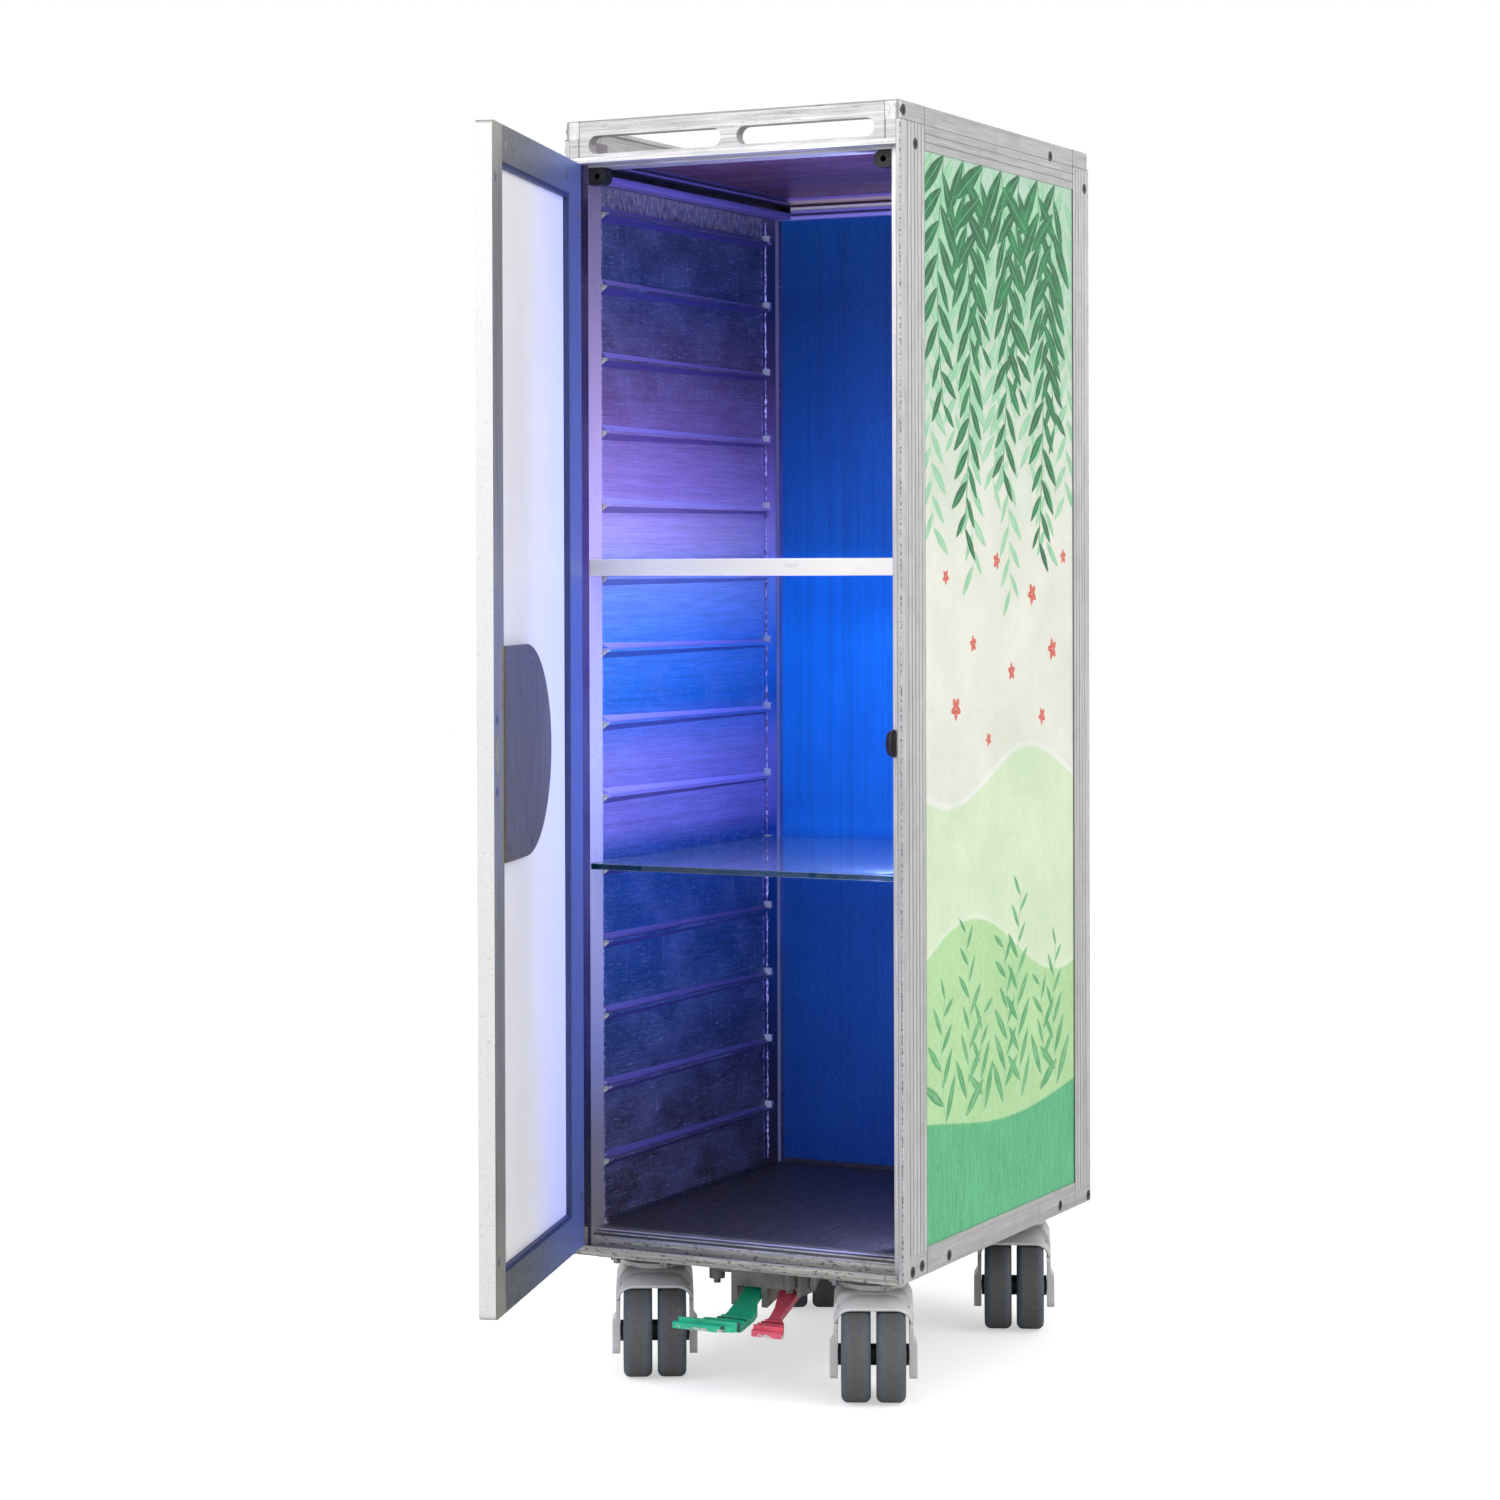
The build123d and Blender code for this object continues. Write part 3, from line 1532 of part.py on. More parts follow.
for name, pivot, angle in zip(caster_names, corners, trail_angles):
    save(caster_fork(pivot, angle), f"caster_fork_{name}")
    save(caster_hub(pivot, angle), f"caster_hub_{name}")
    save(caster_tyres(pivot, angle), f"caster_tyres_{name}")
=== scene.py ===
import json
import math

import bmesh
import bpy
from mathutils import Matrix, Vector


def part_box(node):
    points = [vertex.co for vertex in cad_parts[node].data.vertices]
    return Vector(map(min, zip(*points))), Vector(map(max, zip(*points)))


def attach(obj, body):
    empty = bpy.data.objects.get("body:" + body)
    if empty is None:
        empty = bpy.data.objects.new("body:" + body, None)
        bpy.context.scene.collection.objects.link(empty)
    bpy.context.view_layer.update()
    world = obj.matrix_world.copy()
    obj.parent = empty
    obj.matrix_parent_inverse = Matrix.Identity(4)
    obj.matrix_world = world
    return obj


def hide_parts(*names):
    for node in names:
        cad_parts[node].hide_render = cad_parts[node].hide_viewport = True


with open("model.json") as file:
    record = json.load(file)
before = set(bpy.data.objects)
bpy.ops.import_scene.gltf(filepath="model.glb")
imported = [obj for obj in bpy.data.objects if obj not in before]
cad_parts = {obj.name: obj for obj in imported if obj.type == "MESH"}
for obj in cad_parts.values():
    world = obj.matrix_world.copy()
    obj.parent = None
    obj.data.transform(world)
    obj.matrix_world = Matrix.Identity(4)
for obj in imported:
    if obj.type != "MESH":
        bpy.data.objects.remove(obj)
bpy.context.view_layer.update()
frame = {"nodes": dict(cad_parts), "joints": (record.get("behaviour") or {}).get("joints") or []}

bl_info = {
    "name": "Bar Trolley",
    "version": (1, 1, 0),
    "blender": (4, 5, 0),
    "location": "3D View > Sidebar > Trolley",
    "description": "Finishes, printed sides and small details of a galley style bar trolley",
    "category": "Object",
}

MM = 0.001

# Directions: the doorway looks ahead.
UP, DOWN = (0, 0, 1), (0, 0, -1)
AHEAD, BACK = (0, -1, 0), (0, 1, 0)
RIGHT, LEFT = (1, 0, 0), (-1, 0, 0)

# The open door's inner face: where it starts at the hinge, and which way it runs.
DOOR_ANGLE = math.radians(-73.35)
DOOR_ALONG = Vector((math.cos(DOOR_ANGLE), math.sin(DOOR_ANGLE), 0))
DOOR_START = Vector((-0.14777, -0.20788, 0))
# How far along the door, from its hinge, the strip's painted blue light starts and is full: on the metal and
# on the pane.
DOOR_BLUE = (0.25, 0.02)
PANE_BLUE = (0.17, 0.05)

# The door's rebate in the front posts, the rubbed height of the handle bars, the walls' rubbed top band, and
# a corner cap's length along a bar.
REBATE_SIDE = 0.1475
BAR_RUB = 1.0145
WALL_BAND = 0.960
CAP_LENGTH = 13 * MM

# A tyre's middle from its caster's middle, the ribs on the pedals' toes, shown as lines of painted shade, and
# the small lamps in the strip.
TYRE_MIDDLE = 13.9 * MM
RIB_PITCH = 4.4 * MM
LAMP_PITCH = 16 * MM

# The print's slopes: level and swing in metres, waves in radians a metre, and where these start.
FOOT = (0.212, 0.010, 13.0, 4.4)
HILL = (0.345, 0.030, 16.0, 2.6)
BROW = (0.49, 0.022, 19.0, 0.4)
# Between these heights its top colour fades to the middle one. Its ink is this thick.
PRINT_FADE = (0.95, 0.62)
INK = 0.05 * MM
# The stems' lengths in metres from front to back: far and near ones that hang, and ones that rise.
FAR_REACH = (0.30, 0.22, 0.33, 0.26, 0.35, 0.24, 0.31, 0.27)
NEAR_REACH = (0.20, 0.30, 0.15, 0.25, 0.18, 0.31, 0.21)
RISE_REACH = (0.10, 0.15, 0.08, 0.13, 0.17, 0.09, 0.12)
# The blossoms' places in metres: from the panel's middle to the back, and up.
BLOSSOMS = (
    *((-0.118, 0.655), (-0.062, 0.60), (-0.098, 0.548), (-0.012, 0.668), (0.02, 0.575)),
    *((0.066, 0.64), (0.112, 0.592), (0.138, 0.672), (0.088, 0.535), (-0.03, 0.52)),
)
# A stem's straight parts and its width, how much narrower a leaf is at its ends, how much smaller the last
# leaf of a stem is, and the most that a leaf is lifted off the ones behind it.
STEM_PARTS = 5
STALK_WIDTH = 1.2 * MM
LEAF_POINT = 0.62
LAST_LEAF = 0.5
LEAF_LIFT = 0.12 * MM
# A leaf's side veins: how far they slant and how close they are.
VEIN_SLANT = 5.0
VEIN_TURNS = 22.0

# Where a mask starts and is full: a face's slant as a cosine, half of a seam, and the openness of a nook.
FACING = (0.6, 0.9)
SEAM_HALF = (0.9 * MM, 0.5 * MM)
NOOK = (0.72, 0.25)

# Vertices closer than this are welded. A hood's edges sharper than this angle are rounded this far.
WELD = 1e-6
LIP_ANGLE = 1.2
LIP_ROUND = 0.9 * MM

# The notch that the bolt enters in the striker: along y from its tip, into it along x, and half its height.
BOLT_NOTCH = (1.8 * MM, 5.6 * MM)
BOLT_NOTCH_DEPTH = 3.6 * MM
BOLT_NOTCH_HALF = 3.8 * MM

# The camera's place, its turns in degrees, and how far the picture's middle is moved down.
CAMERA_PLACE = (1.261, -2.663, 0.661)
CAMERA_TURNS = ((26.8, "Z"), (89.66, "X"), (-0.17, "Z"))
CAMERA_SHIFT = -0.1063

# The two large lamps: side and place in metres. Both look at the cabinet's middle.
LAMPS = (("key", 2.2, (-1.4, -3.8, 2.3)), ("fill", 2.6, (3.4, -0.6, 2.0)))
LAMP_AIM = Vector((0, 0, 0.5))
# The strip's spill: width and height, and its frame just ahead of the strip, turned in by 45 degrees.
SPILL_SIZE = (0.02, 0.84)
SPILL_FRAME = Matrix(((0.707, 0, 0.707, 0.124), (0.707, 0, -0.707, -0.166), (0, 1, 0, 0.556), (0, 0, 0, 1)))
# Half of the ground's side, and how far the ground that the camera sees is lifted towards white.
GROUND_HALF = 9
FLOOR_LIFT = 0.5
WHITE = (1, 1, 1, 1)

# Painted light and shade on the metal inside, from the light strip and from the cabinet's own shade: a colour
# by height in metres.
WALL_SHADES = (
    (0.12, "#3a3336"),
    (0.20, "#2e2c3a"),
    (0.30, "#163e6c"),
    (0.39, "#124a8c"),
    (0.425, "#205498"),
    (0.445, "#8a84c8"),
    (0.50, "#9c98d8"),
    (0.55, "#1c84ca"),
    (0.60, "#58a8ea"),
    (0.645, "#a4d0fa"),
    (0.69, "#dcccf2"),
    (0.73, "#b89ad0"),
    (0.78, "#8a6c98"),
    (0.84, "#564660"),
    (0.90, "#28385c"),
    (0.96, "#303a58"),
    (0.985, "#766a74"),
)
POST_SHADES = (
    (0.12, "#97907c"),
    (0.19, "#8f8a88"),
    (0.26, "#9aa0bc"),
    (0.50, "#fbfbfe"),
    (0.70, "#fce6f6"),
    (0.82, "#d0b8c6"),
    (0.90, "#aa9aa8"),
    (0.98, "#948a94"),
)
BACK_SHADES = (
    (0.12, "#0e4a8c"),
    (0.35, "#0c5498"),
    (0.41, "#0c5eae"),
    (0.43, "#108ade"),
    (0.60, "#12a2f6"),
    (0.65, "#1092e8"),
    (0.68, "#0e7cc8"),
    (0.80, "#0a5a9c"),
    (0.90, "#084a84"),
    (0.98, "#0a5a94"),
)
REAR_SHADES = (
    (0.12, "#34406c"),
    (0.30, "#2a5aa4"),
    (0.42, "#3474dc"),
    (0.60, "#5aa0fa"),
    (0.68, "#7c84e0"),
    (0.80, "#5850a0"),
    (0.98, "#4a4288"),
)
# Painted highlights on the ledges' upper faces.
LEDGE_SHADES = (
    (0.12, "#453c62"),
    (0.39, "#6a60a0"),
    (0.43, "#a9a4e6"),
    (0.68, "#c8c2f8"),
    (0.80, "#8a80c4"),
    (0.98, "#6c6298"),
)
# Painted light and shade in the rear ceiling rail's grooves.
BAR_SHADES = (
    (0.9810, "#b9b0ee"),
    (0.9846, "#b9b0ee"),
    (0.9850, "#37345c"),
    (0.9864, "#37345c"),
    (0.9868, "#9a8ccc"),
    (0.9886, "#9a8ccc"),
    (0.9892, "#f0e7d2"),
    (0.9920, "#f0e7d2"),
    (0.9924, "#4a2c30"),
    (0.9946, "#4a2c30"),
    (0.9950, "#dcc4b0"),
    (0.9976, "#dcc4b0"),
    (0.9984, "#a58fc4"),
    (1.0010, "#8a7cc0"),
)
# Painted light and shade on the side ceiling rails, with a painted black shadow in their slot.
SIDE_SHADES = (
    (0.9810, "#8c80cc"),
    (0.9862, "#6a60a8"),
    (0.9868, "#08070c"),
    (0.9938, "#08070c"),
    (0.9944, "#7a70b0"),
    (0.9972, "#5c5490"),
    (0.9978, "#23203c"),
    (1.0010, "#6c649c"),
)


def linear(code):
    """Turns an sRGB hex colour into linear red, green, blue and full alpha."""
    parts = [int(code[i : i + 2], 16) / 255 for i in (1, 3, 5)]
    return tuple(p / 12.92 if p <= 0.04045 else ((p + 0.055) / 1.055) ** 2.4 for p in parts) + (1.0,)


def colour(code, name, words):
    """A colour property with its default as an sRGB hex value."""
    return bpy.props.FloatVectorProperty(
        name=name, description=words, subtype="COLOR", size=4, min=0.0, max=1.0, default=linear(code)
    )


def number(value, name, words, **more):
    """A plain number property."""
    return bpy.props.FloatProperty(name=name, description=words, default=value, **more)


def length(value, name, words):
    """A length property in metres."""
    return number(value, name, words, unit="LENGTH", precision=5)


def share(value, name, words):
    """A property that runs from nothing to all."""
    return number(value, name, words, min=0.0, max=1.0, subtype="FACTOR")


class TrolleyMetal(bpy.types.PropertyGroup):
    """Colours and grain of the aluminium"""

    frame_light: colour("#dedddd", "Frame light", "Pale streaks of the brushed frame")
    frame_dark: colour("#bebdbe", "Frame dark", "Dark streaks of the brushed frame")
    door_light: colour("#7e8084", "Door light", "Pale streaks of the door's inner face")
    door_dark: colour("#6a6c70", "Door dark", "Dark streaks of the door's inner face")
    # Marks colour dirt, and also painted shade in joints and corners and along the door's rebate.
    mark: colour("#3a3a3c", "Marks", "Dirt held in scratches, joints and pits")
    grain: length(1.0 * MM, "Grain", "Width of one brushed streak, drawn coarse enough to show")
    streak: length(45 * MM, "Streak", "Length of one brushed streak")
    wear: share(0.55, "Wear", "How strongly scratches and pits show")


class TrolleyGlow(bpy.types.PropertyGroup):
    """The light strip"""

    strip: colour("#9590ff", "Strip", "Colour of the lit strip")
    spill: colour("#aeb4ff", "Spill", "Colour of the light that the strip throws inwards")
    power: number(4.5, "Power", "Power of the light that the strip throws inwards", min=0.0)
    strength: number(5.0, "Strength", "Brightness of the lit strip", min=0.0)


class TrolleyHoods(bpy.types.PropertyGroup):
    """The hoods that bend over the tyres, part of the casters' forks"""

    radius: length(39.1 * MM, "Radius", "From the axle to a hood's inner face")
    wall: length(2.6 * MM, "Wall", "Thickness of a hood")
    half: length(31.4 * MM, "Half width", "From a hood's middle to its outer side")
    foot: length(28 * MM, "Foot", "From the axle to the lowest edge of a hood's sides")
    corner: length(11 * MM, "Corner", "Rounding between a hood's inner face and its sides")
    swell: length(4.5 * MM, "Swell", "How much thicker a hood is at its back, where it meets the crown")
    back: number(1.75, "Back", "Where a hood starts, over the tyres", subtype="ANGLE")
    front: number(1.21, "Front", "Where a hood ends, towards their front", subtype="ANGLE")


class TrolleyLedges(bpy.types.PropertyGroup):
    """The ledges' pressed roots"""

    count: bpy.props.IntProperty(name="Levels", description="Ledges on each wall", default=14, min=1)
    lowest: length(171 * MM, "Lowest", "Height of the lowest ledge's middle")
    pitch: length(60.5 * MM, "Pitch", "Height from one ledge to the next")
    thickness: length(2.2 * MM, "Thickness", "Thickness of a ledge")
    sheet: length(1.2 * MM, "Sheet", "Thickness of the wall's sheet")
    root: length(6.5 * MM, "Root", "How far a root reaches above and below its ledge")
    fillet: length(2.6 * MM, "Fillet", "How far the upper root stands out from the sheet")
    taper: share(0.55, "Taper", "A root's height at the back, as a share of its height at the front")


class TrolleyPrint(bpy.types.PropertyGroup):
    """The printed side panels"""

    top: colour("#b4d3bd", "Top", "Print colour at the top")
    middle: colour("#efece0", "Middle", "Print colour at half height")
    low: colour("#dcedc9", "Low", "Print colour of the lower slope")
    slope: colour("#b4dd9f", "Slope", "Print colour of the lowest slope")
    band: colour("#5cb982", "Band", "Print colour of the foot band")
    leaf_light: colour("#158a4c", "Leaf light", "Pale leaf green")
    leaf_dark: colour("#06522c", "Leaf dark", "Deep leaf green")
    far_leaf: colour("#8fcaa0", "Far leaf", "Leaves behind the deep green ones")
    blossom: colour("#e2614f", "Blossom", "Small blossoms")
    leaf_length: length(62 * MM, "Leaf length", "Length of the longest hanging leaf")
    leaf_width: length(15 * MM, "Leaf width", "Width of the widest hanging leaf")
    leaf_step: length(13 * MM, "Leaf step", "Distance between leaves along a stem")
    blossom_size: length(9 * MM, "Blossom size", "Length of one petal")


class TrolleyPaint(bpy.types.PropertyGroup):
    """Pedals, casters and the small dark pieces"""

    # The pedals' enamels are painted brighter than the real enamel, as painted light for the light that they
    # lack under the cabinet.
    green: colour("#24d6a2", "Green pedal", "Enamel of the green pedal")
    red: colour("#f55f78", "Red pedal", "Enamel of the red pedal")
    chipped: colour("#d9d6cf", "Chipped", "Bare metal where enamel is worn off")
    # The fork's grey is painted lighter than the real nylon, as painted light for the light that it lacks
    # under the cabinet.
    fork: colour("#dad8d9", "Fork", "Moulded fork of the casters")
    tyre: colour("#575e65", "Tyre", "Side of the tyres")
    tread: colour("#5c564f", "Tread", "Dusty middle of the tread")
    black: colour("#141416", "Black", "Black moulded pieces")
    cast: colour("#9a9994", "Cast", "Rough cast housing")
    board: colour("#fdfbf4", "Board", "White shelf")


class TrolleyStage(bpy.types.PropertyGroup):
    """Camera, lamps and floor"""

    ground: colour("#f4f4f4", "Ground", "Floor and backdrop")
    lens: number(82.61, "Lens", "Focal length in millimetres")
    key: number(74.0, "Key", "Power of the main lamp", min=0.0)
    fill: number(52.0, "Fill", "Power of the fill lamp", min=0.0)
    around: number(0.6, "Around", "Light from all round", min=0.0)


GROUPS = {
    "trolley_metal": TrolleyMetal,
    "trolley_glow": TrolleyGlow,
    "trolley_hoods": TrolleyHoods,
    "trolley_ledges": TrolleyLedges,
    "trolley_print": TrolleyPrint,
    "trolley_paint": TrolleyPaint,
    "trolley_stage": TrolleyStage,
}


def feed(node, inputs):
    """Fills a node's inputs with values, or links them to sockets or to other nodes' first outputs."""
    for key, value in inputs.items():
        for item in value if isinstance(value, list) else [value]:
            if isinstance(item, bpy.types.Node):
                item = item.outputs[0]
            if isinstance(item, bpy.types.NodeSocket):
                node.id_data.links.new(item, node.inputs[key])
            else:
                node.inputs[key].default_value = item


def add(tree, kind, inputs=None, **settings):
    """Adds a node, sets its properties, and fills its inputs."""
    node = tree.nodes.new(kind)
    for key, value in settings.items():
        setattr(node, key, value)
    feed(node, inputs or {})
    return node


def start(name):
    """A new material with its tree and its object coordinates."""
    material = bpy.data.materials.new(name)
    material.use_nodes = True
    tree = material.node_tree
    return material, tree, add(tree, "ShaderNodeTexCoord").outputs["Object"]


def spots(tree, place, size, low, high, most=1.0, detail=2.0, stretch=(1, 1, 1), turn=(0, 0, 0)):
    """A mask of spots: size is one's width in metres, low and high the noise where it starts and is full."""
    scale = tuple(1 / (size * s) for s in stretch)
    laid = add(tree, "ShaderNodeMapping", {"Vector": place, "Scale": scale, "Rotation": turn})
    noise = add(tree, "ShaderNodeTexNoise", {"Vector": laid, "Scale": 1.0, "Detail": detail})
    limits = {"Value": noise, "From Min": low, "From Max": high, "To Max": most}
    return add(tree, "ShaderNodeMapRange", limits)


def along(tree, place, axis, start_at, end_at, most=1.0):
    """A mask that grows between two places along an axis, in metres."""
    dot = add(tree, "ShaderNodeVectorMath", {0: place, 1: tuple(axis)}, operation="DOT_PRODUCT")
    limits = {"Value": dot.outputs["Value"], "From Min": start_at, "From Max": end_at, "To Max": most}
    return add(tree, "ShaderNodeMapRange", limits, interpolation_type="SMOOTHSTEP")


def facing(tree, direction, most=1.0):
    """A mask of the faces that look in a direction."""
    normal = add(tree, "ShaderNodeTexCoord").outputs["Normal"]
    dot = add(tree, "ShaderNodeVectorMath", {0: normal, 1: direction}, operation="DOT_PRODUCT")
    limits = {"Value": dot.outputs["Value"], "From Min": FACING[0], "From Max": FACING[1], "To Max": most}
    return add(tree, "ShaderNodeMapRange", limits)


def seam(tree, place, axis, level, most=0.7):
    """A mask of a thin line at a level along an axis, in metres: where two pieces meet, and a painted shadow
    line in the door's rebate.
    """
    dot = add(tree, "ShaderNodeVectorMath", {0: place, 1: axis}, operation="DOT_PRODUCT")
    off = add(tree, "ShaderNodeMath", {0: dot.outputs["Value"], 1: level}, operation="SUBTRACT")
    near = add(tree, "ShaderNodeMath", {0: off}, operation="ABSOLUTE")
    limits = {"Value": near, "From Min": SEAM_HALF[0], "From Max": SEAM_HALF[1], "To Max": most}
    return add(tree, "ShaderNodeMapRange", limits)


def waves(tree, level, rate, low, high, most):
    """A mask of even waves along a level, at a rate in radians, where they rise from low to high."""
    turns = add(tree, "ShaderNodeMath", {0: level, 1: rate}, operation="MULTIPLY")
    wave = add(tree, "ShaderNodeMath", {0: turns}, operation="SINE")
    limits = {"Value": wave, "From Min": low, "From Max": high, "To Max": most}
    return add(tree, "ShaderNodeMapRange", limits)


def corners(tree, reach, most):
    """A mask of joints, grooves and corners closer than reach, in metres, where dirt gathers and shade falls:
    what it darkens is dirt and painted shade.
    """
    free = add(tree, "ShaderNodeAmbientOcclusion", {"Distance": reach}, samples=4)
    limits = {"Value": free.outputs["AO"], "From Min": NOOK[0], "From Max": NOOK[1], "To Max": most}
    return add(tree, "ShaderNodeMapRange", limits)


def arris(tree, place, total, most):
    """A broken mask along the upright outer edges, where the distances from the middle add up to total."""
    broken = spots(tree, place, 2.2 * MM, 0.47, 0.60, most, 4.0)
    mirrored = add(tree, "ShaderNodeVectorMath", {0: place}, operation="ABSOLUTE")
    return along(tree, mirrored, (1, 1, 0), total - 1.8 * MM, total - 0.6 * MM, broken)


def by_height(tree, place, shades):
    """The colour that belongs to each height."""
    low, high = shades[0][0], shades[-1][0]
    level = add(tree, "ShaderNodeSeparateXYZ", {0: place}).outputs[2]
    limits = {"Value": level, "From Min": low, "From Max": high}
    level = add(tree, "ShaderNodeMapRange", limits)
    ramp = add(tree, "ShaderNodeValToRGB", {0: level})
    stops = ramp.color_ramp.elements
    stops[0].color, stops[1].color = linear(shades[0][1]), linear(shades[-1][1])
    for height, code in shades[1:-1]:
        stops.new((height - low) / (high - low)).color = linear(code)
    return ramp


def skin(material, base, layers, relief, depth, strength, constants):
    """Paints (mask, colour, blending) layers over a base, raises them by a relief and sets the shader."""
    tree = material.node_tree
    for mask, shade, *way in layers:
        blending = way[0] if way else "MIX"
        mixed = {0: mask, 6: base, 7: shade}
        base = add(tree, "ShaderNodeMix", mixed, data_type="RGBA", blend_type=blending).outputs[2]
    bump = add(tree, "ShaderNodeBump", {"Height": relief, "Distance": depth, "Strength": strength})
    feed(tree.nodes["Principled BSDF"], {"Base Color": base, "Normal": bump, **constants})
    return material


def aluminium(name, light, dark, run="Z", more=None, roughness=0.42, metallic=0.5, wear=None, dirt=0.45):
    """Brushed or rolled aluminium, long in use.

    Fine streaks run along the bar, with long soft bands of painted shade as from its grooves, dull stains,
    short nicks across it, pits, and dirt and painted shade in the joints.
    more returns further (mask, colour, blending) layers for a tree and its coordinates. dirt sets how dark
    the joints grow with dirt and painted shade.
    """
    metal = bpy.context.scene.trolley_metal
    wear = metal.wear if wear is None else wear
    mark = tuple(metal.mark)
    # The colour of stains, and of the painted shade in long bands.
    stain_and_shade = tuple(0.72 * c for c in dark[:3]) + (1.0,)
    material, tree, place = start(name)
    long_way = metal.streak / metal.grain
    fine = {"X": (long_way, 1, 1), "Y": (1, long_way, 1), "Z": (1, 1, long_way)}[run]
    wide = {"X": (60, 1, 1), "Y": (1, 60, 1), "Z": (1, 1, 60)}[run]
    across = {"X": (1, 8, 8), "Y": (8, 1, 8), "Z": (8, 8, 1)}[run]
    streaks = spots(tree, place, metal.grain, 0.32, 0.68, 1.0, 3.0, fine)
    layers = [
        (streaks, light),
        # Long soft bands along the bar: painted shade, as from its grooves.
        (spots(tree, place, 5 * MM, 0.45, 0.75, 0.5, 1.0, wide), stain_and_shade),
        (spots(tree, place, 26 * MM, 0.50, 0.75, 0.6 * wear, 5.0), stain_and_shade),
    ]
    layers += more(tree, place) if more else []
    layers += [
        (spots(tree, place, 1.3 * MM, 0.52, 0.74, 0.6 * wear, 4.0), stain_and_shade),
        (spots(tree, place, 0.9 * MM, 0.70, 0.76, wear, 2.0, across), mark),
        (spots(tree, place, 1.6 * MM, 0.71, 0.75, wear, 2.0), mark),
        # Joints and corners: dirt and painted shade.
        (corners(tree, 2.5 * MM, dirt), mark),
    ]
    limits = {"Value": streaks, "To Min": roughness + 0.08, "To Max": roughness - 0.06}
    constants = {"Roughness": add(tree, "ShaderNodeMapRange", limits), "Metallic": metallic}
    return skin(material, dark, layers, streaks, 0.04 * MM, 0.35, constants)


def worn_frame(tree, place):
    """Outer edges knocked dark in places, dark seams where bars meet, and painted shade on the outer faces at
    the front.
    """
    low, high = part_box("front_post_right")
    mark = tuple(bpy.context.scene.trolley_metal.mark)
    mirrored = add(tree, "ShaderNodeVectorMath", {0: place}, operation="ABSOLUTE")
    ahead = facing(tree, AHEAD)
    outer = along(tree, mirrored, RIGHT, high.x - 4.6 * MM, high.x - 3.6 * MM, ahead)
    return [
        # Painted shade on the outer faces that look ahead.
        (outer, linear("#dededf"), "MULTIPLY"),
        (arris(tree, place, high.x - low.y, 0.75), mark),
        (seam(tree, place, BACK, high.y), mark),
        (seam(tree, place, BACK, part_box("rear_post_right")[0].y), mark),
    ]


def post_seam_and_shadow(tree, place):
    """A post's seam under its corner cap, and a painted shadow line in the inner corner of the door's rebate.
    """
    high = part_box("front_post_right")[1]
    mark = tuple(bpy.context.scene.trolley_metal.mark)
    ahead = facing(tree, AHEAD, 0.75)
    mirrored = add(tree, "ShaderNodeVectorMath", {0: place}, operation="ABSOLUTE")
    return worn_frame(tree, place) + [
        (seam(tree, place, UP, high.z), mark),
        # Painted shadow in the inner corner of the door's rebate.
        (seam(tree, mirrored, RIGHT, high.x - 4.2 * MM, ahead), mark),
    ]


def worn_bar(tree, place):
    """A handle bar's long scratches, small dents and seams beside its corner caps."""
    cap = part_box("corner_caps")[1].x - CAP_LENGTH
    mark = tuple(bpy.context.scene.trolley_metal.mark)
    scratches = spots(tree, place, 1.1 * MM, 0.63, 0.70, 0.6, 3.0, (14, 1, 1), (0, 0.10, 0))
    upper = along(tree, place, UP, BAR_RUB, BAR_RUB + 1 * MM, scratches)
    mirrored = add(tree, "ShaderNodeVectorMath", {0: place}, operation="ABSOLUTE")
    return [
        (upper, mark),
        (spots(tree, place, 2.6 * MM, 0.70, 0.74, 0.8, 5.0), mark),
        (seam(tree, mirrored, RIGHT, cap), mark),
    ]


def lit_left(tree, place):
    """The left front post's inner faces, which look at the light strip, and its rebate beside the door, all
    with the strip's light painted on by height.
    """
    shades = by_height(tree, place, POST_SHADES)
    ahead = facing(tree, AHEAD)
    mirrored = add(tree, "ShaderNodeVectorMath", {0: place}, operation="ABSOLUTE")
    rebate = along(tree, mirrored, LEFT, -REBATE_SIDE, -REBATE_SIDE + 0.5 * MM, ahead)
    return post_seam_and_shadow(tree, place) + [
        # Painted light: the inner faces lightened, then tinted by height.
        (facing(tree, RIGHT, 0.85), linear("#fdfcff")),
        (facing(tree, RIGHT), shades, "MULTIPLY"),
        # Painted blue light on the rebate face.
        (rebate, shades, "MULTIPLY"),
        (rebate, linear("#8f8fe6"), "MULTIPLY"),
    ]


def lit_right(tree, place):
    """The right front post's inner face, with the strip's light painted on by height."""
    return post_seam_and_shadow(tree, place) + [
        # Painted light by height.
        (facing(tree, LEFT), by_height(tree, place, POST_SHADES), "MULTIPLY")
    ]


def lit_rear(tree, place):
    """The rear posts' faces inside the cabinet, with painted light and shade: blue in the middle and purple
    above and below.
    """
    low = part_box("rear_post_right")[0]
    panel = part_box("back_panel")[0].y
    ahead = along(tree, place, AHEAD, -panel - 0.4 * MM, -panel)
    mirrored = add(tree, "ShaderNodeVectorMath", {0: place}, operation="ABSOLUTE")
    inside = along(tree, mirrored, LEFT, -low.x - 3.8 * MM, -low.x - 3.2 * MM, ahead)
    # Painted light and shade by height on the faces inside.
    return post_seam_and_shadow(tree, place) + [(inside, by_height(tree, place, REAR_SHADES), "MULTIPLY")]


def dark_kerb(tree, place):
    """The frame's faces inside the cabinet, darkened as painted shade, out of the light."""
    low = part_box("side_panel_right")[0]
    mirrored = add(tree, "ShaderNodeVectorMath", {0: place}, operation="ABSOLUTE")
    inside = along(tree, mirrored, LEFT, -low.x - 0.6 * MM, -low.x)
    # Painted shade inside the cabinet.
    return worn_frame(tree, place) + [(inside, linear("#45414e"), "MULTIPLY")]


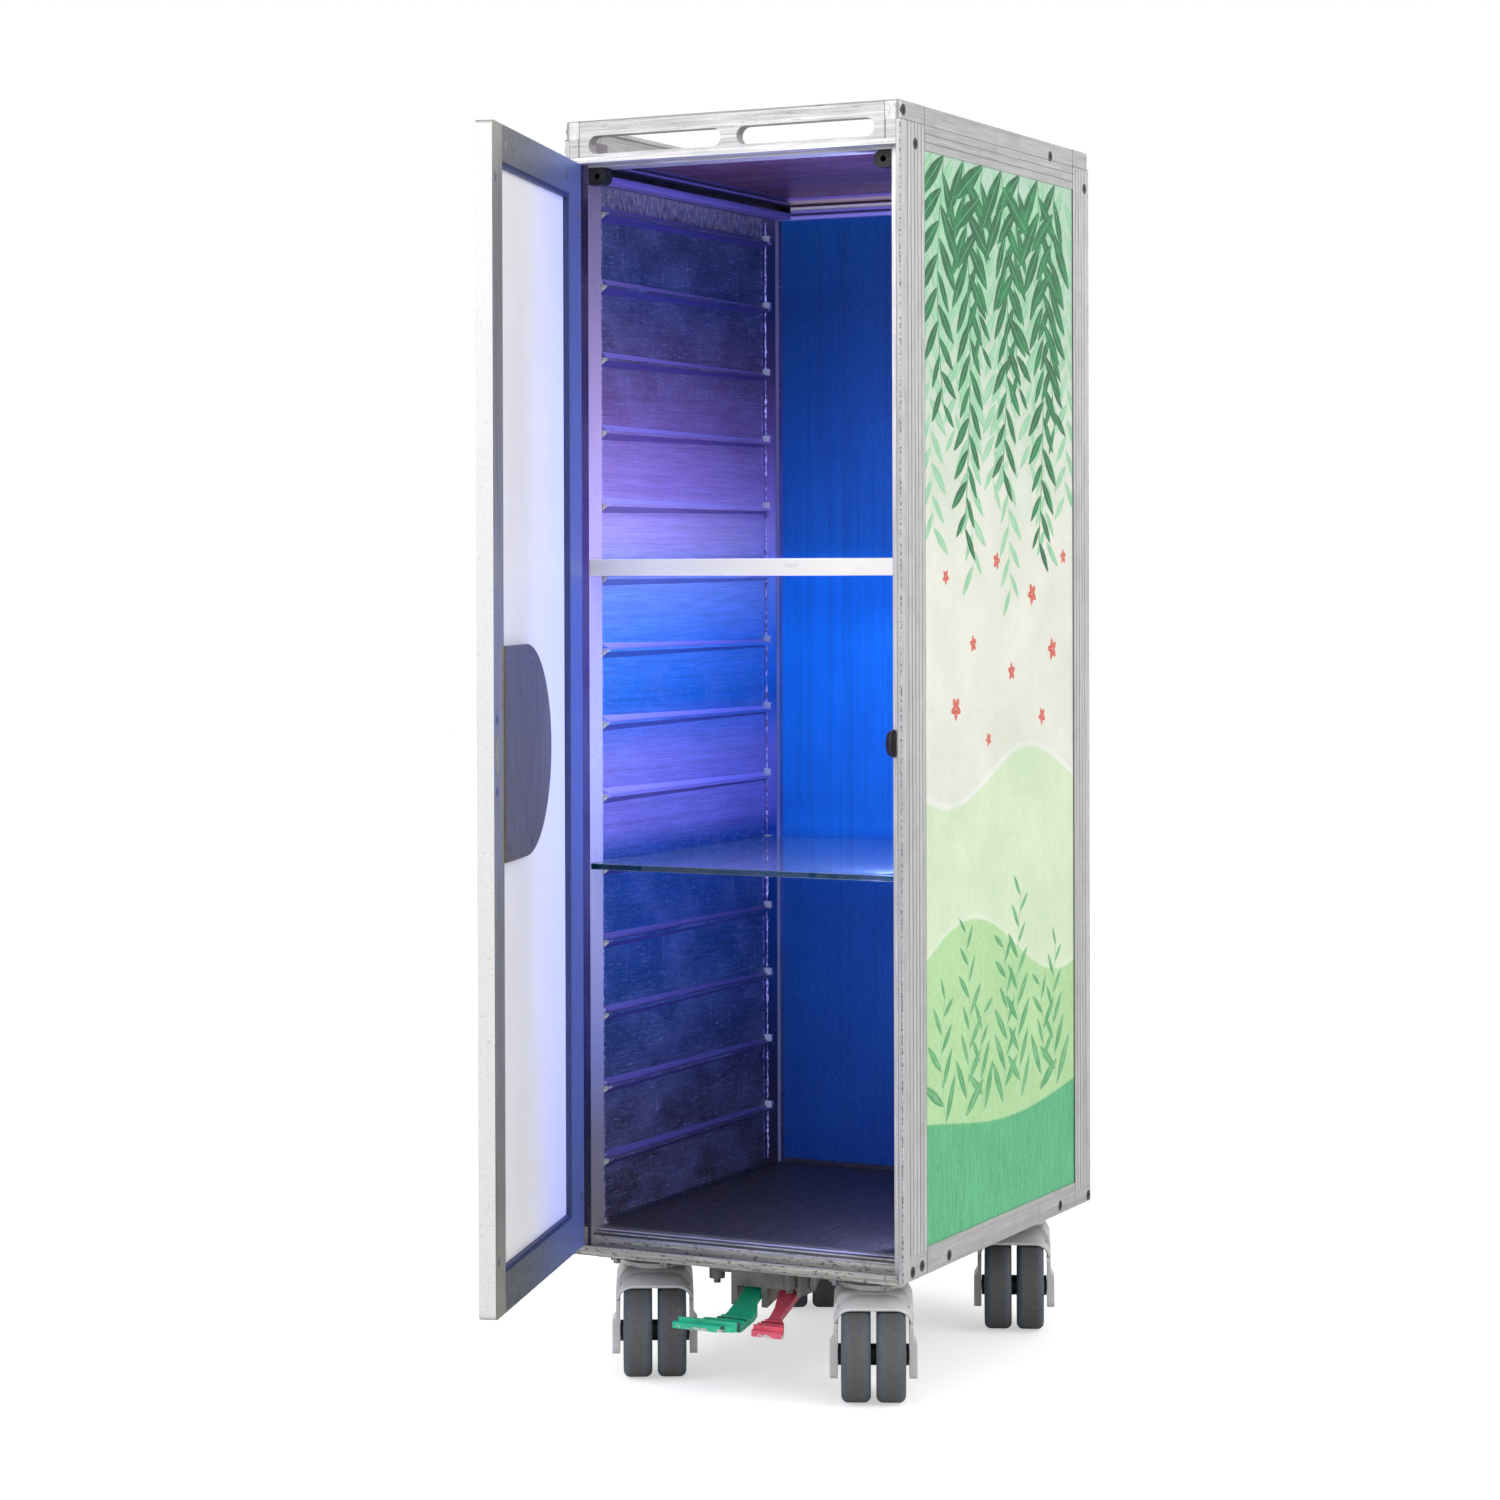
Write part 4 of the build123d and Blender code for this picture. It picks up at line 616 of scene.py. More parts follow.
def dark_sill(tree, place):
    """The rear sill's faces inside the cabinet, darkened as painted shade, out of the light."""
    # Painted shade on the faces that look ahead and up.
    dull = linear("#5d5a6c")
    return [(facing(tree, way), dull, "MULTIPLY") for way in (AHEAD, UP)]


def lit_wall(tree, place):
    """The runner walls: painted light and shade by height, painted highlights on the ledges' tops and painted
    shade under them; cloudy, lightly scratched, rubbed pale at their front and in the top band.
    """
    low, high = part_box("runner_panel_left")
    rubbed = spots(tree, place, 3.2 * MM, 0.48, 0.60, 0.7, 5.0)
    scuffs = spots(tree, place, 5 * MM, 0.42, 0.66, 0.75, 6.0, (1, 0.8, 1.6))
    drips = spots(tree, place, 4 * MM, 0.62, 0.80, 0.16, 3.0, (1, 1, 9))
    return [
        # Painted light and shade by height.
        (1.0, by_height(tree, place, WALL_SHADES), "MULTIPLY"),
        (spots(tree, place, 34 * MM, 0.40, 0.70, 0.07, 5.0, (1, 1.6, 1)), linear("#b9c4ff")),
        (spots(tree, place, 1.2 * MM, 0.56, 0.74, 0.20, 4.0, (1, 9, 1)), linear("#aebcfa")),
        (drips, linear("#cfc8f0")),
        (spots(tree, place, 3.4 * MM, 0.71, 0.74, 0.45, 6.0), linear("#e0daf8")),
        (along(tree, place, AHEAD, -low.y - 7 * MM, -low.y - 2 * MM, rubbed), linear("#cdc3e2")),
        (along(tree, place, BACK, high.y - 9 * MM, high.y - 5 * MM, rubbed), linear("#a9a0de")),
        (along(tree, place, UP, WALL_BAND, WALL_BAND + 4 * MM, scuffs), linear("#97918f")),
        # Painted highlights on the ledges' upper faces, and painted shade under them.
        (facing(tree, UP, 0.85), by_height(tree, place, LEDGE_SHADES)),
        (facing(tree, DOWN, 0.7), linear("#34346c")),
        (facing(tree, AHEAD, 0.85), linear("#c4cec0")),
    ]


def lit_ridge(tree, place):
    """The ledges' pressed roots, with painted light by height: painted highlights lilac above, painted shade
    dark purple below, grey green at their open mouths.
    """
    upper = by_height(tree, place, LEDGE_SHADES)
    return [
        (1.0, by_height(tree, place, WALL_SHADES), "MULTIPLY"),
        # Painted highlights on the upper faces, and painted shade on the lower ones.
        *[(facing(tree, (way * 0.85, 0, 0.53), 0.85), upper) for way in (1, -1)],
        *[(facing(tree, (way * 0.64, 0, -0.77), 0.65), linear("#3d2f7a")) for way in (1, -1)],
        (facing(tree, AHEAD, 0.95), linear("#dbe4d6")),
    ]


def lit_back(tree, place):
    """The back panel's inner face, with the strip's light painted on, the deepest blue of all, softly
    clouded.
    """
    inner = facing(tree, AHEAD, 0.25)
    return [
        # Painted light by height.
        (facing(tree, AHEAD), by_height(tree, place, BACK_SHADES), "MULTIPLY"),
        (spots(tree, place, 60 * MM, 0.38, 0.70, inner, 5.0), linear("#9fb4e0"), "MULTIPLY"),
        (spots(tree, place, 2.2 * MM, 0.66, 0.74, inner, 4.0), linear("#5f9af0")),
    ]


def lit_ceiling(tree, place):
    """The ceiling, in painted shade, dim and wine purple, with painted faint reflections of the bars around
    it.
    """
    under = facing(tree, DOWN)
    bands = spots(tree, place, 16 * MM, 0.45, 0.60, facing(tree, DOWN, 0.5), 2.0, (6, 1, 1))
    # Painted shade on the underside, and painted reflections in bands.
    return [(under, linear("#86607a"), "MULTIPLY"), (bands, linear("#c0908c"), "MULTIPLY")]


def lit_bar(tree, place):
    """The ceiling rails, with painted light and shade: grooves in turn cream, wine and lilac at the back, a
    painted black shadow in the slot at the sides.
    """
    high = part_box("ceiling_rails")[1]
    back = along(tree, place, BACK, high.y - 9 * MM, high.y - 8 * MM)
    return [
        # Painted light and shade by height, black in the slot.
        (1.0, by_height(tree, place, SIDE_SHADES), "MULTIPLY"),
        (back, by_height(tree, place, BAR_SHADES)),
    ]


def lit_floor(tree, place):
    """The floor inside: its top darkened grey brown as painted shade, and scuffed."""
    scuffs = spots(tree, place, 9 * MM, 0.48, 0.62, 0.6, 5.0)
    scratches = spots(tree, place, 1.2 * MM, 0.64, 0.72, 0.35, 3.0, (12, 1, 1), (0, 0, 0.4))
    return [
        # Painted shade on the floor's top.
        (facing(tree, UP), linear("#362e24"), "MULTIPLY"),
        (scuffs, linear("#26221f")),
        (scratches, linear("#8d8780")),
    ]


def worn_sill(tree, place):
    """The sill's dark grooves, bright rubbed ridges and black specks along its front."""
    low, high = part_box("door_sill")
    mark = linear("#232324")
    up = facing(tree, UP)
    specks = spots(tree, place, 2.2 * MM, 0.55, 0.64, 0.65, 5.0, (2.5, 1, 1))
    rubbed = spots(tree, place, 5 * MM, 0.40, 0.62, 0.8, 4.0, (6, 1, 1))
    lines = (
        (low.y + 1.6 * MM, 0.9, "#f4f4f2"),
        (low.y + 4.0 * MM, 0.8, "#232324"),
        (low.y + 14.6 * MM, 0.9, "#e6e6e4"),
        (low.y + 18.0 * MM, 0.85, "#232324"),
        (high.y - 9.4 * MM, 0.7, "#d4d3d6"),
        (high.y - 5.4 * MM, 0.8, "#232324"),
    )
    return [
        (up, linear("#8d8a84"), "MULTIPLY"),
        (along(tree, place, BACK, low.y + 20 * MM, low.y + 24 * MM, rubbed), linear("#55524e")),
        *[(seam(tree, place, BACK, level, most), linear(code)) for level, most, code in lines],
        (facing(tree, AHEAD, specks), mark),
    ]


def door_blue(tree, place):
    """The strip's blue light painted on the door's inside, strongest at the hinge; its outside stays plain.
    """
    begin = DOOR_START.dot(DOOR_ALONG)
    outside = facing(tree, tuple(DOOR_ALONG.cross(Vector(UP))))
    most = add(tree, "ShaderNodeMath", {0: 0.9, 1: outside}, operation="SUBTRACT", use_clamp=True)
    blue = along(tree, place, DOOR_ALONG, begin + DOOR_BLUE[0], begin + DOOR_BLUE[1], most)
    # Painted blue light towards the hinge.
    return [(blue, linear("#6a7cae"))]


def free_edge(tree, place):
    """The latch stile's free edge, painted bright as a highlight."""
    # Painted highlight on the free edge.
    return [(facing(tree, tuple(DOOR_ALONG)), linear("#dddddd"))]


def moulded_plastic(name, code, roughness=0.45, mottle=0.12):
    """Injection moulded nylon: even colour, faint clouding, a fine orange peel, and dust and painted shade in
    its corners.
    """
    material, tree, place = start(name)
    dark = tuple(c * (1 - 2.2 * mottle) for c in code[:3]) + (1.0,)
    peel = spots(tree, place, 1.2 * MM, 0.3, 0.7)
    layers = [
        (spots(tree, place, 18 * MM, 0.3, 0.7, 1.0, 4.0), code),
        (spots(tree, place, 1.6 * MM, 0.66, 0.72, mottle), linear("#e6e3da")),
        # Dust and painted shade in the corners.
        (corners(tree, 3 * MM, 0.5), linear("#2e2e30")),
    ]
    return skin(material, dark, layers, peel, 0.03 * MM, 0.35, {"Roughness": roughness})


def moulded_rubber(name, axis, centre):
    """Moulded grey rubber: blue grey sides, a dusty brown band on the tread and fine scuffs."""
    paint = bpy.context.scene.trolley_paint
    material, tree, place = start(name)
    dot = add(tree, "ShaderNodeVectorMath", {0: place, 1: tuple(axis)}, operation="DOT_PRODUCT")
    side = dot.outputs["Value"]
    for middle in (centre, TYRE_MIDDLE):
        off = add(tree, "ShaderNodeMath", {0: side, 1: middle}, operation="SUBTRACT")
        side = add(tree, "ShaderNodeMath", {0: off}, operation="ABSOLUTE")
    limits = {"Value": side, "From Min": 7.5 * MM, "From Max": 1.5 * MM, "To Max": 0.85}
    band = add(tree, "ShaderNodeMapRange", limits, interpolation_type="SMOOTHSTEP")
    grain = spots(tree, place, 3.5 * MM, 0.3, 0.7, 0.5, 4.0)
    layers = [
        (band, tuple(paint.tread)),
        (grain, linear("#43474c")),
        (spots(tree, place, 1.5 * MM, 0.68, 0.75, 0.8), linear("#83857f")),
    ]
    return skin(material, tuple(paint.tyre), layers, grain, 0.15 * MM, 0.35, {"Roughness": 0.72})


def stoved_enamel(name, code, node):
    """Stoved enamel on steel: glossy, with lines of painted shade between the toe's ribs, dirt and painted
    shade in its corners, and chipped bare at its lowest edge.
    """
    paint = bpy.context.scene.trolley_paint
    material, tree, place = start(name)
    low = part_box(node)[0]
    deep = tuple(c * 0.72 for c in code[:3]) + (1.0,)
    bare = tuple(paint.chipped)
    chips = spots(tree, place, 5 * MM, 0.50, 0.55, 1.0, 3.0)
    lowest = along(tree, place, DOWN, -low.z - 3.2 * MM, -low.z - 1.6 * MM, chips)
    depth = add(tree, "ShaderNodeSeparateXYZ", {0: place}).outputs[1]
    ribs = waves(tree, depth, 2 * math.pi / RIB_PITCH, 0.45, 0.85, 0.9)
    toe = along(tree, place, AHEAD, -low.y - 31 * MM, -low.y - 27 * MM, ribs)
    layers = [
        (spots(tree, place, 14 * MM, 0.3, 0.7, 1.0, 4.0), code),
        (spots(tree, place, 1.2 * MM, 0.55, 0.75, 0.3, 2.0, (1, 14, 1)), deep),
        # Painted shade: dark lines across the toe, between its ribs.
        (toe, linear("#10201c")),
        # Dirt and painted shade in the corners.
        (corners(tree, 1.6 * MM, 0.4), linear("#1c2422")),
        (along(tree, place, AHEAD, -low.y - 3 * MM, -low.y - 0.5 * MM, lowest), bare),
        (spots(tree, place, 2.4 * MM, 0.72, 0.74, 1.0, 3.0), bare),
    ]
    constants = {"Roughness": 0.36, "Coat Weight": 0.25}
    return skin(material, deep, layers, chips, 0.06 * MM, 0.35, constants)


def rough_casting(name, code):
    """Sand cast light metal: grainy, dull and stained, with dirt and painted shade in its corners."""
    material, tree, place = start(name)
    dark = tuple(c * 0.45 for c in code[:3]) + (1.0,)
    grit = spots(tree, place, 1.8 * MM, 0.3, 0.7, 0.4, 3.0)
    layers = [
        (spots(tree, place, 16 * MM, 0.45, 0.7, 0.8, 4.0), dark),
        (grit, dark),
        # Dirt and painted shade in the corners.
        (corners(tree, 4 * MM, 0.8), linear("#26262a")),
    ]
    return skin(material, code, layers, grit, 0.3 * MM, 0.5, {"Roughness": 0.62, "Metallic": 0.3})


def zinc_steel(name, code):
    """Zinc plated steel: dull bright, black with dirt and painted shade round its edges and in its slots."""
    material, tree, place = start(name)
    dirt = spots(tree, place, 2.0 * MM, 0.45, 0.62, 0.7, 3.0)
    # Spots of dirt, and dirt and painted shade in the corners.
    layers = [(dirt, linear("#3a3a3c")), (corners(tree, 1.5 * MM, 0.95), linear("#161618"))]
    return skin(material, code, layers, dirt, 0.05 * MM, 0.35, {"Roughness": 0.38, "Metallic": 0.8})


def frosted_acrylic(name):
    """Frosted acrylic: milky white, with the strip's blue light painted on towards the hinge."""
    material, tree, place = start(name)
    begin = DOOR_START.dot(DOOR_ALONG)
    peel = spots(tree, place, 1.0 * MM, 0.3, 0.7)
    layers = [
        (spots(tree, place, 45 * MM, 0.3, 0.7, 1.0, 3.0), linear("#fffefa")),
        # Painted blue light towards the hinge.
        (along(tree, place, DOOR_ALONG, begin + PANE_BLUE[0], begin + PANE_BLUE[1], 0.8), linear("#ccd6f8")),
    ]
    constants = {"Roughness": 0.42, "Transmission Weight": 0.05, "IOR": 1.49}
    return skin(material, linear("#fcfaf2"), layers, peel, 0.02 * MM, 0.2, constants)


def float_glass(name):
    """Float glass: clear faces and blue green edges."""
    material, tree, place = start(name)
    normal = add(tree, "ShaderNodeTexCoord").outputs["Normal"]
    up = add(tree, "ShaderNodeVectorMath", {0: normal, 1: UP}, operation="DOT_PRODUCT")
    flat = add(tree, "ShaderNodeMath", {0: up.outputs["Value"]}, operation="ABSOLUTE")
    smears = spots(tree, place, 30 * MM, 0.55, 0.8, 0.6)
    layers = [(flat, linear("#e2f5f3")), (smears, linear("#d0e7e7"))]
    constants = {"Roughness": 0.04, "Transmission Weight": 0.9, "IOR": 1.5}
    return skin(material, linear("#0f6f7c"), layers, smears, 0.01 * MM, 0.1, constants)


def laminate_board(name, code):
    """Melamine faced board: satin white with faint rub marks, with painted blue light and shade on its
    underside.
    """
    material, tree, place = start(name)
    rubs = spots(tree, place, 7 * MM, 0.62, 0.72, 0.3, 4.0, (4, 1, 1))
    layers = [
        (rubs, linear("#c4c2cc")),
        # Painted blue light and shade on the underside.
        (facing(tree, DOWN, 0.6), linear("#8f88d6"), "MULTIPLY"),
        (spots(tree, place, 1.2 * MM, 0.72, 0.76, 0.4), linear("#8a8890")),
    ]
    return skin(material, code, layers, rubs, 0.03 * MM, 0.2, {"Roughness": 0.34})


def lit_diffuser(name):
    """Milky extruded diffuser, lit from behind by a row of small lamps."""
    glow = bpy.context.scene.trolley_glow
    material, tree, place = start(name)
    height = add(tree, "ShaderNodeSeparateXYZ", {0: place}).outputs[2]
    row = waves(tree, height, 2 * math.pi / LAMP_PITCH, -1.0, 1.0, 0.35)
    strip = tuple(glow.strip)
    constants = {"Roughness": 0.5, "Emission Color": strip, "Emission Strength": glow.strength}
    return skin(material, strip, [(row, linear("#b9b6ff"))], row, 0.02 * MM, 0.1, constants)


def slope(tree, place, level, swing, rate, shift, soft, most=1.0):
    """A mask under a wavy line across the side panel, at a level in metres."""
    split = add(tree, "ShaderNodeSeparateXYZ", {0: place}).outputs
    turned = add(tree, "ShaderNodeMath", {0: split[1], 1: rate, 2: shift}, operation="MULTIPLY_ADD")
    wave = add(tree, "ShaderNodeMath", {0: turned}, operation="SINE")
    line = add(tree, "ShaderNodeMath", {0: wave, 1: swing, 2: level}, operation="MULTIPLY_ADD")
    depth = add(tree, "ShaderNodeMath", {0: line, 1: split[2]}, operation="SUBTRACT")
    limits = {"Value": depth, "From Min": 0.0, "From Max": soft, "To Max": most}
    return add(tree, "ShaderNodeMapRange", limits)


def printed_laminate(name):
    """Printed laminate on an aluminium skin: green and cream washes on paper grain under satin film.

    The print is on the outer skin alone. The inner skin is bare metal, with the strip's light painted on by
    height.
    """
    page = bpy.context.scene.trolley_print
    material, tree, place = start(name)
    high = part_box("side_panel_right")[1]
    grain = spots(tree, place, 1.8 * MM, 0.35, 0.65, 0.4, 4.0, (1, 1, 3))
    blades = spots(tree, place, 1.8 * MM, 0.42, 0.62, 0.55, 2.0, (1, 1, 16))
    washes = spots(tree, place, 60 * MM, 0.3, 0.7, 0.3, 4.0)
    mirrored = add(tree, "ShaderNodeVectorMath", {0: place}, operation="ABSOLUTE")
    inner = along(tree, mirrored, LEFT, 1.4 * MM - high.x, 1.6 * MM - high.x)
    white = linear("#ffffff")
    pale = linear("#e6f2d8")
    layers = [
        (along(tree, place, DOWN, -PRINT_FADE[0], -PRINT_FADE[1]), tuple(page.middle)),
        (slope(tree, place, BROW[0] + 4 * MM, *BROW[1:], 1 * MM, 0.5), white),
        (slope(tree, place, *BROW, 3 * MM), tuple(page.low)),
        (slope(tree, place, HILL[0] + 4 * MM, *HILL[1:], 1 * MM, 0.6), pale),
        (slope(tree, place, *HILL, 2 * MM), tuple(page.slope)),
        (slope(tree, place, *FOOT, 2 * MM), tuple(page.band)),
        (slope(tree, place, *FOOT, 1 * MM, blades), linear("#3f9f6a")),
        (grain, white, "SOFT_LIGHT"),
        (washes, linear("#b4d4ba"), "MULTIPLY"),
        # Painted light by height on the inner skin.
        (inner, linear("#d8d6e4")),
        (inner, by_height(tree, place, WALL_SHADES), "MULTIPLY"),
    ]
    return skin(material, tuple(page.top), layers, grain, 0.03 * MM, 0.2, {"Roughness": 0.5})


def leaf_ink(name, deep, pale, vein):
    """Printed leaf ink: brushed washes of green, a pale midrib and fainter side veins."""
    material, tree, place = start(name)
    blade = add(tree, "ShaderNodeAttribute", attribute_name="blade").outputs["Vector"]
    split = add(tree, "ShaderNodeSeparateXYZ", {0: blade}).outputs
    side = add(tree, "ShaderNodeMath", {0: split[1]}, operation="ABSOLUTE")
    limits = {"Value": side, "From Min": 0.09, "From Max": 0.03, "To Max": 0.8}
    midrib = add(tree, "ShaderNodeMapRange", limits)
    slant = add(tree, "ShaderNodeMath", {0: side, 1: -VEIN_SLANT, 2: split[0]}, operation="MULTIPLY_ADD")
    ribs = waves(tree, slant, VEIN_TURNS, 0.5, 1.0, 0.22)
    limits = {"Value": split[0], "From Min": -0.6, "From Max": 1.6, "To Max": 0.4}
    tip = add(tree, "ShaderNodeMapRange", limits)
    washes = spots(tree, place, 16 * MM, 0.42, 0.72, 0.9, 4.0)
    layers = [(washes, pale), (tip, pale), (ribs, vein), (midrib, vein)]
    return skin(material, deep, layers, washes, 0.02 * MM, 0.1, {"Roughness": 0.5})


def silicone_bead(name):
    """Old silicone sealant: pale where it is clean, tinted lilac by painted light from the strip, lumpy, and
    dirty over more than half of its length.
    """
    material, tree, place = start(name)
    dirt = spots(tree, place, 4 * MM, 0.42, 0.56, 0.9, 5.0)
    layers = [(dirt, linear("#4f4a74")), (spots(tree, place, 1.5 * MM, 0.6, 0.7, 0.7), linear("#2c2a3c"))]
    # Lilac base: painted light from the strip.
    return skin(material, linear("#cbc3e6"), layers, dirt, 0.3 * MM, 0.6, {"Roughness": 0.5})


def put_on(names, material):
    """Gives CAD nodes a finish."""
    for name in names:
        node = frame["nodes"][name]
        if not node.material_slots:
            node.data.materials.append(material)
        for slot in node.material_slots:
            slot.material = material


def placed(name, data):
    """A new object in the scene."""
    made = bpy.data.objects.new(name, data)
    bpy.context.scene.collection.objects.link(made)
    return made


def plain(piece):
    """Turns a piece's modifiers into its mesh."""
    graph = bpy.context.evaluated_depsgraph_get()
    piece.data = bpy.data.meshes.new_from_object(piece.evaluated_get(graph))
    piece.modifiers.clear()


def grown(name, points, edges, tree, inputs, body, faces=()):
    """Runs a geometry tree over drawn lines or faces and leaves one plain mesh that rides a body."""
    drawn = bpy.data.meshes.new(name + "_lines")
    drawn.from_pydata(points, edges, faces)
    piece = placed(name, drawn)
    modifier = piece.modifiers.new("grow", "NODES")
    modifier.node_group = tree
    for item in tree.interface.items_tree:
        if item.item_type == "SOCKET" and item.in_out == "INPUT" and item.name in inputs:
            modifier[item.identifier] = inputs[item.name]
    plain(piece)
    piece.data.name = name
    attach(piece, body)
    return piece


def tree_with(name, sockets):
    """A geometry tree with named inputs, and those inputs' sockets inside it."""
    tree = bpy.data.node_groups.new(name, "GeometryNodeTree")
    tree.interface.new_socket("Geometry", in_out="INPUT", socket_type="NodeSocketGeometry")
    for label, kind in sockets.items():
        tree.interface.new_socket(label, in_out="INPUT", socket_type="NodeSocket" + kind)
    tree.interface.new_socket("Geometry", in_out="OUTPUT", socket_type="NodeSocketGeometry")
    return tree, add(tree, "NodeGroupInput").outputs


def close_tree(tree, geometry, material):
    """Ends a geometry tree with plain meshes in their material."""
    real = add(tree, "GeometryNodeRealizeInstances", {0: geometry})
    painted = add(tree, "GeometryNodeSetMaterial", {"Geometry": real, "Material": material})
    add(tree, "NodeGroupOutput", {0: painted})


def blade_nodes(tree, long, wide, thick):
    """One flat leaf from its stalk end to its pointed tip, closed, with its own blade coordinates kept."""
    disc = add(tree, "GeometryNodeMeshCircle", {"Vertices": 14, "Radius": 1.0}, fill_type="NGON")
    where = add(tree, "GeometryNodeInputPosition")
    kept = add(
        tree,
        "GeometryNodeStoreNamedAttribute",
        {"Geometry": disc, "Name": "blade", "Value": where},
        data_type="FLOAT_VECTOR",
        domain="POINT",
    )
    split = add(tree, "ShaderNodeSeparateXYZ", {0: where}).outputs
    square = add(tree, "ShaderNodeMath", {0: split[0], 1: 2.0}, operation="POWER")
    taper = add(tree, "ShaderNodeMath", {0: square, 1: -LEAF_POINT, 2: 1.0}, operation="MULTIPLY_ADD")
    half_long = add(tree, "ShaderNodeMath", {0: long, 1: 0.5}, operation="MULTIPLY")
    half_wide = add(tree, "ShaderNodeMath", {0: wide, 1: 0.5}, operation="MULTIPLY")
    out = add(tree, "ShaderNodeMath", {0: split[0], 1: half_long, 2: half_long}, operation="MULTIPLY_ADD")
    side = add(tree, "ShaderNodeMath", {0: split[1], 1: taper}, operation="MULTIPLY")
    side = add(tree, "ShaderNodeMath", {0: side, 1: half_wide}, operation="MULTIPLY")
    shaped = add(tree, "ShaderNodeCombineXYZ", {0: out, 1: side})
    blade = add(tree, "GeometryNodeSetPosition", {"Geometry": kept, "Position": shaped})
    raised = add(tree, "GeometryNodeExtrudeMesh", {"Mesh": blade, "Offset Scale": thick})
    under = add(tree, "GeometryNodeFlipFaces", {0: blade})
    closed = add(tree, "GeometryNodeJoinGeometry", {0: [raised, under]})
    return add(tree, "GeometryNodeMergeByDistance", {"Geometry": closed, "Distance": WELD})


def lay_on_panel(tree, geometry, entry):
    """Turns flat print upright, sets it on the panel and ends the tree."""
    real = add(tree, "GeometryNodeRealizeInstances", {0: geometry})
    laid = add(
        tree,
        "GeometryNodeTransform",
        {"Geometry": real, "Translation": entry["Place"], "Rotation": entry["Turn"]},
    )
    close_tree(tree, laid, entry["Material"])


def sprig_tree():
    """Sprigs: a leaf on each side in turn along every drawn stem, smaller towards its end, and the stem."""
    tree, entry = tree_with("printed sprigs", {
        "Leaf step": "Float",
        "Leaf length": "Float",
        "Leaf width": "Float",
        "Thickness": "Float",
        "Lean": "Float",
        "Turn": "Vector",
        "Place": "Vector",
        "Seed": "Int",
        "Material": "Material",
    })
    stems = add(tree, "GeometryNodeMeshToCurve", {0: entry["Geometry"]})
    smooth = add(tree, "GeometryNodeCurveSplineType", {0: stems}, spline_type="NURBS")
    spaced = add(
        tree, "GeometryNodeResampleCurve", {"Curve": smooth, "Length": entry["Leaf step"]}, mode="LENGTH"
    )
    leaf = blade_nodes(tree, entry["Leaf length"], entry["Leaf width"], entry["Thickness"])
    tangent = add(tree, "GeometryNodeInputTangent")
    heading = add(tree, "ShaderNodeSeparateXYZ", {0: tangent}).outputs
    angle = add(tree, "ShaderNodeMath", {0: heading[1], 1: heading[0]}, operation="ARCTAN2")
    index = add(tree, "GeometryNodeInputIndex")
    parity = add(tree, "ShaderNodeMath", {0: index, 1: 2.0}, operation="MODULO")
    side = add(tree, "ShaderNodeMath", {0: parity, 1: 2.0, 2: -1.0}, operation="MULTIPLY_ADD")
    seed = entry["Seed"]
    jitter = add(tree, "FunctionNodeRandomValue", {2: 0.8, 3: 1.15, "Seed": seed}, data_type="FLOAT")
    lean = add(tree, "ShaderNodeMath", {0: side, 1: entry["Lean"]}, operation="MULTIPLY")
    lean = add(tree, "ShaderNodeMath", {0: lean, 1: jitter.outputs[1], 2: angle}, operation="MULTIPLY_ADD")
    turn = add(tree, "ShaderNodeCombineXYZ", {2: lean})
    reach = add(tree, "GeometryNodeSplineParameter")
    size = add(tree, "ShaderNodeMath", {0: reach, 1: -LAST_LEAF, 2: 1.0}, operation="MULTIPLY_ADD")
    size = add(tree, "ShaderNodeMath", {0: size, 1: jitter.outputs[1]}, operation="MULTIPLY")
    lift = add(tree, "FunctionNodeRandomValue", {2: 0.0, 3: LEAF_LIFT, "Seed": seed}, data_type="FLOAT")
    lift = add(tree, "ShaderNodeCombineXYZ", {2: lift.outputs[1]})
    lifted = add(tree, "GeometryNodeSetPosition", {"Geometry": spaced, "Offset": lift})
    leaves = add(
        tree,
        "GeometryNodeInstanceOnPoints",
        {"Points": lifted, "Instance": leaf, "Rotation": turn, "Scale": size},
    )
    strip = add(
        tree,
        "GeometryNodeCurvePrimitiveQuadrilateral",
        {"Width": STALK_WIDTH, "Height": entry["Thickness"]},
        mode="RECTANGLE",
    )
    stalk = add(tree, "GeometryNodeCurveToMesh", {"Curve": spaced, "Profile Curve": strip, "Fill Caps": True})
    both = add(tree, "GeometryNodeJoinGeometry", {0: [leaves, stalk]})
    lay_on_panel(tree, both, entry)
    return tree


